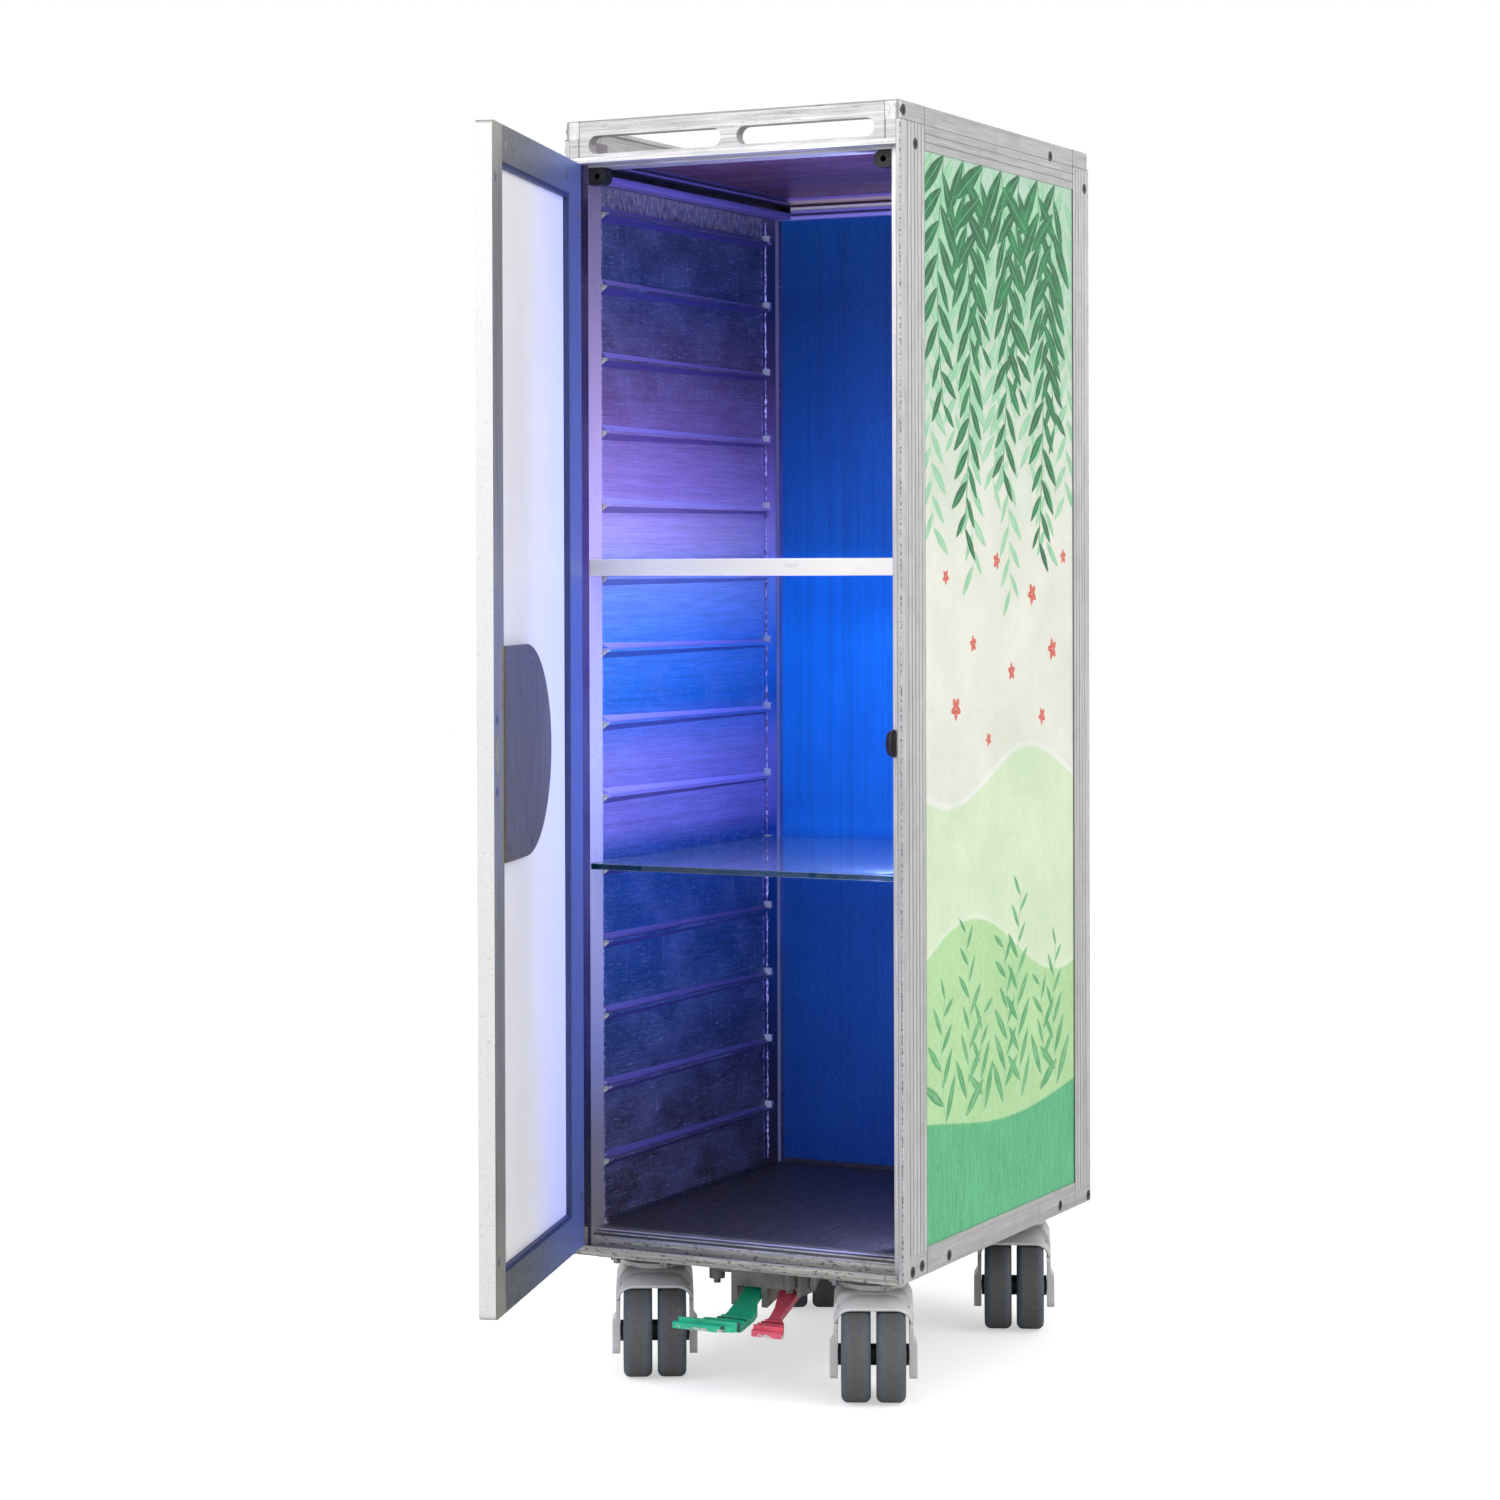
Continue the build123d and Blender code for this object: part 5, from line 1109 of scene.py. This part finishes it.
def blossom_tree():
    """Blossoms: five petals round every drawn point, each blossom turned and sized by chance."""
    tree, entry = tree_with("printed blossoms", {
        "Petals": "Int",
        "Petal length": "Float",
        "Petal width": "Float",
        "Thickness": "Float",
        "Turn": "Vector",
        "Place": "Vector",
        "Seed": "Int",
        "Material": "Material",
    })
    petal = blade_nodes(tree, entry["Petal length"], entry["Petal width"], entry["Thickness"])
    ring = add(tree, "GeometryNodeMeshCircle", {"Vertices": entry["Petals"], "Radius": 0.4 * MM})
    where = add(tree, "GeometryNodeInputPosition")
    split = add(tree, "ShaderNodeSeparateXYZ", {0: where}).outputs
    angle = add(tree, "ShaderNodeMath", {0: split[1], 1: split[0]}, operation="ARCTAN2")
    turn = add(tree, "ShaderNodeCombineXYZ", {2: angle})
    flower = add(tree, "GeometryNodeInstanceOnPoints", {"Points": ring, "Instance": petal, "Rotation": turn})
    flower = add(tree, "GeometryNodeRealizeInstances", {0: flower})
    seed = entry["Seed"]
    spin = add(
        tree,
        "FunctionNodeRandomValue",
        {0: (0, 0, 0), 1: (0, 0, 2 * math.pi), "Seed": seed},
        data_type="FLOAT_VECTOR",
    )
    size = add(tree, "FunctionNodeRandomValue", {2: 0.6, 3: 1.1, "Seed": seed}, data_type="FLOAT")
    blossoms = add(
        tree,
        "GeometryNodeInstanceOnPoints",
        {"Points": entry["Geometry"], "Instance": flower, "Rotation": spin, "Scale": size.outputs[1]},
    )
    lay_on_panel(tree, blossoms, entry)
    return tree


def bead_tree():
    """Sealant: a lumpy round bead along every drawn line."""
    tree, entry = tree_with("sealant bead", {
        "Radius": "Float",
        "Step": "Float",
        "Seed": "Int",
        "Material": "Material",
    })
    seed = entry["Seed"]
    lines = add(tree, "GeometryNodeMeshToCurve", {0: entry["Geometry"]})
    spaced = add(tree, "GeometryNodeResampleCurve", {"Curve": lines, "Length": entry["Step"]}, mode="LENGTH")
    sway = add(
        tree,
        "FunctionNodeRandomValue",
        {0: (0.0, -0.7 * MM, 0.0), 1: (0.0, 0.7 * MM, 0.0), "Seed": seed},
        data_type="FLOAT_VECTOR",
    )
    moved = add(tree, "GeometryNodeSetPosition", {"Geometry": spaced, "Offset": sway})
    lumps = add(tree, "FunctionNodeRandomValue", {2: 0.2, 3: 1.0, "Seed": seed}, data_type="FLOAT")
    ring = add(tree, "GeometryNodeCurvePrimitiveCircle", {"Resolution": 7, "Radius": entry["Radius"]})
    bead = add(
        tree,
        "GeometryNodeCurveToMesh",
        {"Curve": moved, "Profile Curve": ring, "Scale": lumps.outputs[1], "Fill Caps": True},
    )
    close_tree(tree, bead, entry["Material"])
    return tree


def finished(mesh, name):
    """Turns mesh code's result into a smooth object."""
    data = bpy.data.meshes.new(name)
    mesh.to_mesh(data)
    mesh.free()
    data.polygons.foreach_set("use_smooth", [True] * len(data.polygons))
    return placed(name, data)


def joined(mesh, rings):
    """Fills the skin between rings of points, each ring closed."""
    for one, two in zip(rings, rings[1:]):
        for i in range(len(one)):
            j = (i + 1) % len(one)
            mesh.faces.new((one[i], one[j], two[j], two[i]))


def bent(half, reach, foot, corner, steps=6):
    """One side of a hood's section, over the tyres with rounded corners: (across, out) pairs."""
    line = [(-half, foot)]
    for way, first in ((-1, math.pi), (1, math.pi / 2)):
        for step in range(steps + 1):
            turn = first - step * math.pi / 2 / steps
            across = way * (half - corner) + corner * math.cos(turn)
            line.append((across, reach - corner + corner * math.sin(turn)))
    return line + [(half, foot)]


def hood_mesh(name, sizes, axle, ahead, across):
    """A hood: a bent section turned about the axle from above the tyres to their front."""
    inner = bent(sizes.half - sizes.wall, sizes.radius, sizes.foot, sizes.corner)
    up = Vector(UP)
    count = len(inner)
    turns = 14
    mesh = bmesh.new()
    rings = []
    for turn in range(turns + 1):
        angle = sizes.back + (sizes.front - sizes.back) * turn / turns
        wall = sizes.wall + sizes.swell * (1 + math.cos(math.pi * turn / turns)) / 2
        outer = bent(sizes.half, sizes.radius + wall, sizes.foot, sizes.corner + wall)
        out = ahead * math.cos(angle) + up * math.sin(angle)
        rings.append([mesh.verts.new(axle + across * x + out * r) for x, r in outer + inner[::-1]])
    joined(mesh, rings)
    for ring in (rings[0], rings[-1]):
        for i in range(count - 1):
            mesh.faces.new((ring[i], ring[i + 1], ring[2 * count - 2 - i], ring[2 * count - 1 - i]))
    bmesh.ops.recalc_face_normals(mesh, faces=mesh.faces)
    lip = [edge for edge in mesh.edges if len(edge.link_faces) == 2 and edge.calc_face_angle() > LIP_ANGLE]
    bmesh.ops.bevel(mesh, geom=lip, offset=LIP_ROUND, segments=2, affect="EDGES", profile=0.5)
    return finished(mesh, name)


# A button's outline: how far it has risen and how wide it is there, as shares of its height and width.
BUTTON_OUTLINE = (
    *((0, 0.90), (0.02, 1), (0.30, 1), (0.34, 0.94)),
    *((0.50, 0.93), (0.68, 0.86), (0.84, 0.70), (0.95, 0.42)),
)


def button(name, low, high, around=40):
    """A domed oval button with a collar, standing on a wall to its right."""
    middle = (low + high) / 2
    half = (high - low) / 2
    mesh = bmesh.new()
    rings = []
    for rise, share_out in BUTTON_OUTLINE:
        ring = []
        for step in range(around):
            turn = 2 * math.pi * step / around
            out = share_out * Vector((0, half.y * math.cos(turn), half.z * math.sin(turn)))
            ring.append(mesh.verts.new(Vector((high.x - rise * (high.x - low.x), middle.y, middle.z)) + out))
        rings.append(ring)
    joined(mesh, rings)
    top = mesh.verts.new((low.x, middle.y, middle.z))
    for i in range(around):
        mesh.faces.new((rings[-1][i], rings[-1][(i + 1) % around], top))
    mesh.faces.new(rings[0])
    bmesh.ops.recalc_face_normals(mesh, faces=mesh.faces)
    return finished(mesh, name)


def cut_out(piece, low, high):
    """Cuts the box between two corners out of a piece."""
    block = bmesh.new()
    bmesh.ops.create_cube(block, size=1)
    middle = (low + high) / 2
    for corner in block.verts:
        corner.co = middle + Vector([a * b for a, b in zip(corner.co, high - low)])
    tool = finished(block, "cutting_block")
    cut = piece.modifiers.new("cut", "BOOLEAN")
    cut.operation = "DIFFERENCE"
    cut.solver = "EXACT"
    cut.object = tool
    plain(piece)
    bpy.data.objects.remove(tool)


def ridge_tree():
    """Ledge roots: drawn sections drawn out to the back, lower there, at every level and on both walls."""
    tree, entry = tree_with("ledge roots", {
        "Levels": "Int",
        "Pitch": "Float",
        "Length": "Float",
        "Taper": "Float",
        "Lowest": "Float",
        "Material": "Material",
    })
    backwards = add(tree, "ShaderNodeCombineXYZ", {1: entry["Length"]})
    drawn = entry["Geometry"]
    out = add(tree, "GeometryNodeExtrudeMesh", {"Mesh": drawn, "Offset": backwards})
    split = add(tree, "ShaderNodeSeparateXYZ", {0: add(tree, "GeometryNodeInputPosition")})
    rise = add(tree, "ShaderNodeMath", {0: split.outputs[2], 1: entry["Lowest"]}, operation="SUBTRACT")
    settings = {"operation": "MULTIPLY_ADD"}
    level = add(tree, "ShaderNodeMath", {0: rise, 1: entry["Taper"], 2: entry["Lowest"]}, **settings)
    there = add(tree, "ShaderNodeCombineXYZ", {0: split, 1: split.outputs[1], 2: level})
    far = {"Geometry": out, "Selection": out.outputs["Top"], "Position": there}
    shaped = add(tree, "GeometryNodeSetPosition", far)
    both = add(tree, "GeometryNodeJoinGeometry", {0: [shaped, drawn]})
    closed = add(tree, "GeometryNodeMergeByDistance", {"Geometry": both, "Distance": WELD})
    step = add(tree, "ShaderNodeCombineXYZ", {2: entry["Pitch"]})
    levels = add(tree, "GeometryNodeMeshLine", {"Count": entry["Levels"], "Offset": step})
    row = {"Points": levels, "Instance": closed}
    wall = add(tree, "GeometryNodeInstanceOnPoints", row)
    wall = add(tree, "GeometryNodeRealizeInstances", {0: wall})
    other = add(tree, "GeometryNodeTransform", {"Geometry": wall, "Scale": (-1, 1, 1)})
    other = add(tree, "GeometryNodeFlipFaces", {0: other})
    both = add(tree, "GeometryNodeJoinGeometry", {0: [wall, other]})
    close_tree(tree, both, entry["Material"])
    return tree


class TROLLEY_OT_frame(bpy.types.Operator):
    """Finishes the posts, rails, corners and handle bars in worn brushed aluminium, with painted light and
    shade
    """

    bl_idname = "trolley.frame"
    bl_label = "Frame"

    def execute(self, context):
        metal = context.scene.trolley_metal
        own = (tuple(metal.frame_light), tuple(metal.frame_dark))
        rail = (linear("#cbcaca"), linear("#b2b1b2"))
        bar = (linear("#bdbcbc"), linear("#a3a2a3"))
        header = (linear("#d2d1d2"), linear("#b4b3b4"))
        kerb = (linear("#c4c3c4"), linear("#a9a8a9"))
        sill = (linear("#d2cfc9"), linear("#8b8881"))
        caps = ["top_side_rails", "corner_caps", "corner_blocks"]
        for names, finish, shades, run, hook, wear in (
            (["front_post_left"], "brushed_left_post", own, "Z", lit_left, None),
            (["front_post_right"], "brushed_right_post", own, "Z", lit_right, None),
            (["rear_post_left", "rear_post_right"], "brushed_rear_post", own, "Z", lit_rear, None),
            (caps, "brushed_lengthwise", rail, "Y", worn_frame, None),
            (["bottom_side_rails"], "brushed_low_rail", rail, "Y", dark_kerb, 0.7),
            (["front_handle_bar", "rear_handle_bar"], "brushed_handle_bar", bar, "X", worn_bar, None),
            (["door_header"], "brushed_header", header, "X", None, None),
            (["rear_sill"], "brushed_rear_sill", kerb, "X", dark_sill, None),
            (["door_sill"], "scuffed_sill", sill, "X", worn_sill, 0.5),
        ):
            put_on(names, aluminium(finish, *shades, run, hook, wear=wear))
        return {"FINISHED"}


class TROLLEY_OT_inside(bpy.types.Operator):
    """Finishes the walls, back, floor and ceiling inside the cabinet, with painted light and shade"""

    bl_idname = "trolley.inside"
    bl_label = "Inside"

    def execute(self, context):
        light, dark, pale = linear("#f2f1f4"), linear("#cfced4"), linear("#e0dfe6")
        walls = ["runner_panel_left", "runner_panel_right"]
        for names, finish, base, run, hook, roughness, metallic, wear in (
            (walls, "rolled_wall", dark, "Y", lit_wall, 0.45, 0.25, 0.3),
            (["back_panel"], "rolled_back", pale, "Z", lit_back, 0.5, 0.2, 0.1),
            (["floor_panel"], "rolled_floor", dark, "Y", lit_floor, 0.4, 0.2, 0.6),
            (["top_deck"], "rolled_deck", dark, "Y", lit_ceiling, 0.3, 0.35, 0.2),
            (["ceiling_rails"], "drawn_ceiling_rail", dark, "Y", lit_bar, 0.4, 0.3, 0.3),
        ):
            put_on(names, aluminium(finish, light, base, run, hook, roughness, metallic, wear))
        put_on(["light_rail_ends"], moulded_plastic("moulded_black_nylon", linear("#131216"), 0.6))
        put_on(["led_strip"], lit_diffuser("lit_diffuser"))
        return {"FINISHED"}


class TROLLEY_OT_ridges(bpy.types.Operator):
    """Presses a sloping root above and below every ledge of the runner walls"""

    bl_idname = "trolley.ridges"
    bl_label = "Ledge roots"

    def execute(self, context):
        sizes = context.scene.trolley_ledges
        low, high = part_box("runner_panel_left")
        sheet = low.x + sizes.sheet
        lap = 0.1 * MM
        front = low.y + lap
        rear_stop = 4 * MM
        half = sizes.thickness / 2
        first = sizes.lowest
        nose = high.x - lap
        points = [
            (sheet, front, first + half - lap),
            (sheet, front, first + sizes.root),
            (sheet + sizes.fillet, front, first + half - lap),
            (sheet, front, first - half + lap),
            (nose, front, first - half + lap),
            (sheet, front, first - sizes.root),
        ]
        light, dark = linear("#f2f1f4"), linear("#dddce4")
        # dirt sets the dirt and painted shade in the roots' joints.
        looks = {"roughness": 0.45, "metallic": 0.25, "wear": 0.2, "dirt": 0.2}
        root = aluminium("rolled_ledge_root", light, dark, "Y", lit_ridge, **looks)
        inputs = {
            "Levels": sizes.count,
            "Pitch": sizes.pitch,
            "Length": high.y - rear_stop - front,
            "Taper": sizes.taper,
            "Lowest": first,
            "Material": root,
        }
        faces = [(0, 1, 2), (3, 4, 5)]
        piece = grown("ledge_roots", points, [], ridge_tree(), inputs, "cabinet", faces)
        return {"FINISHED"}


class TROLLEY_OT_sealant(bpy.types.Operator):
    """Lays old sealant along the front and back edges of the runner walls"""

    bl_idname = "trolley.sealant"
    bl_label = "Sealant"

    def execute(self, context):
        low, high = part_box("runner_panel_left")
        points = []
        edges = []
        side = low.x + 1.9 * MM
        gap = 0.4 * MM
        end = 4 * MM
        for x in (side, -side):
            for y in (low.y - gap, high.y + gap):
                points += [(x, y, low.z + end), (x, y, high.z - end)]
                edges.append((len(points) - 2, len(points) - 1))
        material = silicone_bead("old_silicone_sealant")
        inputs = {"Radius": 1.5 * MM, "Step": 3 * MM, "Seed": 7, "Material": material}
        grown("sealant_beads", points, edges, bead_tree(), inputs, "cabinet")
        return {"FINISHED"}


def stems(starts, run, sway):
    """Points and edges of drawn stems: each starts at (across, up), runs up or down and sways sideways."""
    points = []
    edges = []
    for i, (across, up, reach) in enumerate(starts):
        first = len(points)
        for step in range(STEM_PARTS + 1):
            t = step / STEM_PARTS
            bend = sway * math.sin(3 * t) * (1 if i % 2 else -1)
            points.append((across + bend, up + run * reach * t, 0))
        edges += [(first + k, first + k + 1) for k in range(STEM_PARTS)]
    return points, edges


class TROLLEY_OT_side_print(bpy.types.Operator):
    """Prints the side panels with bands of colour, hanging and rising sprigs and small blossoms"""

    bl_idname = "trolley.side_print"
    bl_label = "Side print"

    def execute(self, context):
        page = context.scene.trolley_print
        put_on(["side_panel_left", "side_panel_right"], printed_laminate("printed_laminate"))
        far, dark, light = tuple(page.far_leaf), tuple(page.leaf_dark), tuple(page.leaf_light)
        far_ink = leaf_ink("printed_far_leaf", far, linear("#aedcb8"), linear("#c8e8cc"))
        near_ink = leaf_ink("printed_near_leaf", dark, light, linear("#6fbf8c"))
        grass_ink = leaf_ink("printed_rising_leaf", linear("#3f9c62"), linear("#7cc287"), linear("#b9e0b0"))
        petal_ink = leaf_ink("printed_petal", linear("#d44a3c"), tuple(page.blossom), linear("#f6c9b8"))
        low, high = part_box("side_panel_right")
        count = len(FAR_REACH)
        across = [low.y + (i + 0.5) * (high.y - low.y) / count for i in range(count)]
        gaps = [(a + b) / 2 for a, b in zip(across, across[1:])]
        top = high.z
        foot = FOOT[0] + 2 * MM
        hung_far = stems([(y, top, r) for y, r in zip(across, FAR_REACH)], -1, 0.010)
        hung_near = stems([(y, top, r) for y, r in zip(gaps, NEAR_REACH)], -1, 0.014)
        risen = stems([(y, foot, r) for y, r in zip(gaps, RISE_REACH)], 1, 0.010)
        middle = (low.y + high.y) / 2
        dots = [(middle + y, z, 0) for y, z in BLOSSOMS]
        leaf_long, leaf_wide = page.leaf_length, page.leaf_width
        layers = (
            ("far_sprigs", sprig_tree(), hung_far, far_ink, leaf_long, leaf_wide, 0.0, 3),
            ("near_sprigs", sprig_tree(), hung_near, near_ink, leaf_long, leaf_wide, 0.16 * MM, 11),
            ("rising_sprigs", sprig_tree(), risen, grass_ink, 0.7 * leaf_long, 0.6 * leaf_wide, 0.0, 5),
            ("blossoms", blossom_tree(), (dots, []), petal_ink, 0.0, 0.0, 0.0, 8),
        )
        for side, word, heading in ((1, "right", 90), (-1, "left", -90)):
            for name, tree, (points, edges), ink, long, wide, lift, seed in layers:
                inputs = {
                    "Leaf step": page.leaf_step,
                    "Leaf length": long,
                    "Leaf width": wide,
                    "Petals": 5,
                    "Petal length": page.blossom_size,
                    "Petal width": 0.62 * page.blossom_size,
                    "Thickness": INK,
                    "Lean": math.radians(42),
                    "Turn": (math.radians(90), 0.0, math.radians(heading)),
                    "Place": (side * (high.x + 0.02 * MM + lift), 0.0, 0.0),
                    "Seed": seed,
                    "Material": ink,
                }
                drawn = [(side * y, z, 0) for y, z, _ in points]
                piece = grown(f"{name}_{word}", drawn, edges, tree, inputs, "cabinet")
        return {"FINISHED"}


class TROLLEY_OT_door(bpy.types.Operator):
    """Finishes the door, its window and its latch"""

    bl_idname = "trolley.door"
    bl_label = "Door"

    def execute(self, context):
        metal = context.scene.trolley_metal
        light, dark = tuple(metal.door_light), tuple(metal.door_dark)
        hinge = aluminium("satin_hinge_stile", light, dark, "Z", door_blue, wear=0.2)
        put_on(["door_hinge_stile", "hinge_leaf_door", "hinge_leaf_cabinet"], hinge)
        put_on(["door_rails"], aluminium("satin_door_rails", light, dark, "Y", door_blue, wear=0.25))
        # The latch stile's warm tint is painted light.
        free = aluminium("satin_latch_stile", linear("#b2b0a6"), linear("#9e9c92"), "Z", free_edge, wear=0.4)
        put_on(["door_latch_stile"], free)
        put_on(["window_beads"], moulded_plastic("extruded_gasket", linear("#2e3a66"), 0.5))
        put_on(["window_pane"], frosted_acrylic("frosted_acrylic"))
        # The cover's warm tint is painted light.
        light, dark = linear("#887f68"), linear("#776f5a")
        cover = aluminium("pressed_cover", light, dark, "Z", roughness=0.34, metallic=0.3)
        put_on(["latch_cover"], cover)
        put_on(["latch_case"], rough_casting("cast_latch_case", linear("#8f9094")))
        paddle = aluminium("pressed_paddle", linear("#b4b5b8"), linear("#929397"), "Z")
        put_on(["latch_paddle", "latch_bolt"], paddle)
        return {"FINISHED"}


class TROLLEY_OT_striker(bpy.types.Operator):
    """Makes the striker's domed button, with the notch that the bolt enters"""

    bl_idname = "trolley.striker"
    bl_label = "Striker"

    def execute(self, context):
        low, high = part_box("striker_stud")
        stud = button("striker_button", low, high)
        level = (low.z + high.z) / 2
        near = Vector((low.x - 1 * MM, low.y + BOLT_NOTCH[0], level - BOLT_NOTCH_HALF))
        far = Vector((low.x + BOLT_NOTCH_DEPTH, low.y + BOLT_NOTCH[1], level + BOLT_NOTCH_HALF))
        cut_out(stud, near, far)
        black = context.scene.trolley_paint.black
        stud.data.materials.append(moulded_plastic("moulded_black_stud", tuple(black), 0.3))
        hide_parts("striker_stud")
        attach(stud, "cabinet")
        return {"FINISHED"}


class TROLLEY_OT_shelves(bpy.types.Operator):
    """Finishes the white shelf and the glass shelf"""

    bl_idname = "trolley.shelves"
    bl_label = "Shelves"

    def execute(self, context):
        paint = context.scene.trolley_paint
        put_on(["white_shelf"], laminate_board("melamine_board", tuple(paint.board)))
        put_on(["glass_shelf"], float_glass("float_glass"))
        return {"FINISHED"}


class TROLLEY_OT_fixings(bpy.types.Operator):
    """Finishes screws, studs, nuts and pins"""

    bl_idname = "trolley.fixings"
    bl_label = "Fixings"

    def execute(self, context):
        steel = zinc_steel("zinc_plated_steel", linear("#9a9b9e"))
        put_on(["door_screws", "hinge_pin", "caster_bolts", "pedal_shaft"], steel)
        put_on(["frame_screws"], zinc_steel("dirty_frame_screws", linear("#47474a")))
        return {"FINISHED"}


class TROLLEY_OT_casters(bpy.types.Operator):
    """Finishes the casters and bends their forks' hoods over the tyres"""

    bl_idname = "trolley.casters"
    bl_label = "Casters"

    def execute(self, context):
        paint = context.scene.trolley_paint
        fork = moulded_plastic("moulded_grey_nylon", tuple(paint.fork), 0.4, 0.05)
        hub = moulded_plastic("moulded_black_hub", tuple(paint.black), 0.45, 0.05)
        put_on(["base_plate", "caster_plates"], rough_casting("pressed_steel_base", linear("#6f7073")))
        joints = {joint["name"]: joint for joint in frame["joints"]}
        for name in ("front_left", "front_right", "rear_left", "rear_right"):
            put_on([f"caster_fork_{name}"], fork)
            put_on([f"caster_hub_{name}"], hub)
            roll = joints[f"roll_{name}"]
            axis = Vector(roll["axis"]).normalized()
            axle = Vector(roll["pos_m"])
            rubber = moulded_rubber(f"moulded_rubber_{name}", axis, axle.dot(axis))
            put_on([f"caster_tyres_{name}"], rubber)
            pivot = Vector(joints[f"swivel_{name}"]["pos_m"])
            ahead = Vector((axle.x - pivot.x, axle.y - pivot.y, 0)).normalized()
            across = ahead.cross(Vector(UP))
            hood = hood_mesh(f"caster_hood_{name}", context.scene.trolley_hoods, axle, ahead, across)
            hood.data.materials.append(fork)
            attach(hood, f"fork_{name}")
        return {"FINISHED"}


class TROLLEY_OT_pedals(bpy.types.Operator):
    """Finishes the brake housing and its two pedals"""

    bl_idname = "trolley.pedals"
    bl_label = "Pedals"

    def execute(self, context):
        paint = context.scene.trolley_paint
        put_on(["green_pedal"], stoved_enamel("stoved_enamel_green", tuple(paint.green), "green_pedal"))
        put_on(["red_pedal"], stoved_enamel("stoved_enamel_red", tuple(paint.red), "red_pedal"))
        put_on(["brake_housing"], rough_casting("sand_cast_housing", tuple(paint.cast)))
        return {"FINISHED"}


def set_camera(lens):
    """The camera, and the view through it."""
    eye = bpy.data.cameras.new("camera")
    eye.sensor_width = 36.0
    eye.lens = lens
    eye.shift_y = CAMERA_SHIFT
    eye.clip_end = 50.0
    camera = placed("camera", eye)
    turns = [Matrix.Rotation(math.radians(degrees), 4, axis) for degrees, axis in CAMERA_TURNS]
    camera.matrix_world = Matrix.Translation(CAMERA_PLACE) @ (turns[0] @ turns[1] @ turns[2])
    bpy.context.scene.camera = camera
    bpy.context.scene.view_settings.view_transform = "Standard"


def lay_ground(shade):
    """The pale floor, a little paler still where the camera sees it."""
    ground = bpy.data.meshes.new("ground")
    half = GROUND_HALF
    square = [(-half, -half, 0), (half, -half, 0), (half, half, 0), (-half, half, 0)]
    ground.from_pydata(square, [], [(0, 1, 2, 3)])
    floor = placed("ground", ground)
    material, tree = start("painted_studio_floor")[:2]
    seen = add(tree, "ShaderNodeLightPath").outputs["Is Camera Ray"]
    lift = add(tree, "ShaderNodeMath", {0: seen, 1: FLOOR_LIFT}, operation="MULTIPLY")
    constants = {"Base Color": shade, "Roughness": 0.9, "Specular IOR Level": 0.1}
    constants.update({"Emission Color": WHITE, "Emission Strength": lift})
    feed(tree.nodes["Principled BSDF"], constants)
    ground.materials.append(material)


def light_world(around):
    """White all round: full in view, in reflections and through glass, and weaker where it lights things."""
    world = bpy.data.worlds.new("studio")
    world.use_nodes = True
    bpy.context.scene.world = world
    tree = world.node_tree
    rays = add(tree, "ShaderNodeLightPath").outputs
    shown = rays["Is Camera Ray"]
    for ray in ("Is Glossy Ray", "Is Transmission Ray"):
        shown = add(tree, "ShaderNodeMath", {0: shown, 1: rays[ray]}, operation="MAXIMUM")
    level = add(tree, "ShaderNodeMapRange", {"Value": shown, "To Min": around, "To Max": 1.0})
    feed(tree.nodes["Background"], {"Color": WHITE, "Strength": level})


def hang_lamps(powers):
    """The two large lamps."""
    for (name, size, spot), power in zip(LAMPS, powers):
        lamp = bpy.data.lights.new(name, "AREA")
        lamp.energy = power
        lamp.size = size
        aim = (LAMP_AIM - Vector(spot)).to_track_quat("-Z", "Y")
        placed(name, lamp).matrix_world = Matrix.Translation(spot) @ aim.to_matrix().to_4x4()


def spill_light(glow):
    """The light that the strip throws inwards, itself unseen."""
    lamp = bpy.data.lights.new("spill", "AREA")
    lamp.shape = "RECTANGLE"
    lamp.size, lamp.size_y = SPILL_SIZE
    lamp.energy = glow.power
    lamp.color = tuple(glow.spill)[:3]
    light = placed("spill", lamp)
    light.visible_camera = False
    light.visible_glossy = False
    light.matrix_world = SPILL_FRAME


class TROLLEY_OT_stage(bpy.types.Operator):
    """Sets the camera, the lamps, the pale floor and the view settings"""

    bl_idname = "trolley.stage"
    bl_label = "Stage"

    def execute(self, context):
        stage = context.scene.trolley_stage
        set_camera(stage.lens)
        lay_ground(tuple(stage.ground))
        light_world(stage.around)
        hang_lamps((stage.key, stage.fill))
        spill_light(context.scene.trolley_glow)
        return {"FINISHED"}


class TROLLEY_PT_panel(bpy.types.Panel):
    """The trolley's pieces and settings"""

    bl_idname = "TROLLEY_PT_panel"
    bl_label = "Bar Trolley"
    bl_space_type = "VIEW_3D"
    bl_region_type = "UI"
    bl_category = "Trolley"

    def draw(self, context):
        for piece in PIECES:
            self.layout.operator(piece.bl_idname)
        for key, group in GROUPS.items():
            box = self.layout.box()
            box.label(text=group.__doc__)
            for name in group.__annotations__:
                box.prop(getattr(context.scene, key), name)


PIECES = (
    TROLLEY_OT_frame,
    TROLLEY_OT_inside,
    TROLLEY_OT_ridges,
    TROLLEY_OT_sealant,
    TROLLEY_OT_side_print,
    TROLLEY_OT_door,
    TROLLEY_OT_striker,
    TROLLEY_OT_shelves,
    TROLLEY_OT_fixings,
    TROLLEY_OT_casters,
    TROLLEY_OT_pedals,
    TROLLEY_OT_stage,
)
CLASSES = tuple(GROUPS.values()) + PIECES + (TROLLEY_PT_panel,)


def register():
    for cls in CLASSES:
        bpy.utils.register_class(cls)
    for key, group in GROUPS.items():
        setattr(bpy.types.Scene, key, bpy.props.PointerProperty(type=group))


def unregister():
    for key in GROUPS:
        delattr(bpy.types.Scene, key)
    for cls in reversed(CLASSES):
        bpy.utils.unregister_class(cls)


def main():
    register()
    for piece in PIECES:
        family, name = piece.bl_idname.split(".")
        getattr(getattr(bpy.ops, family), name)()


if __name__ == "__main__":
    main()
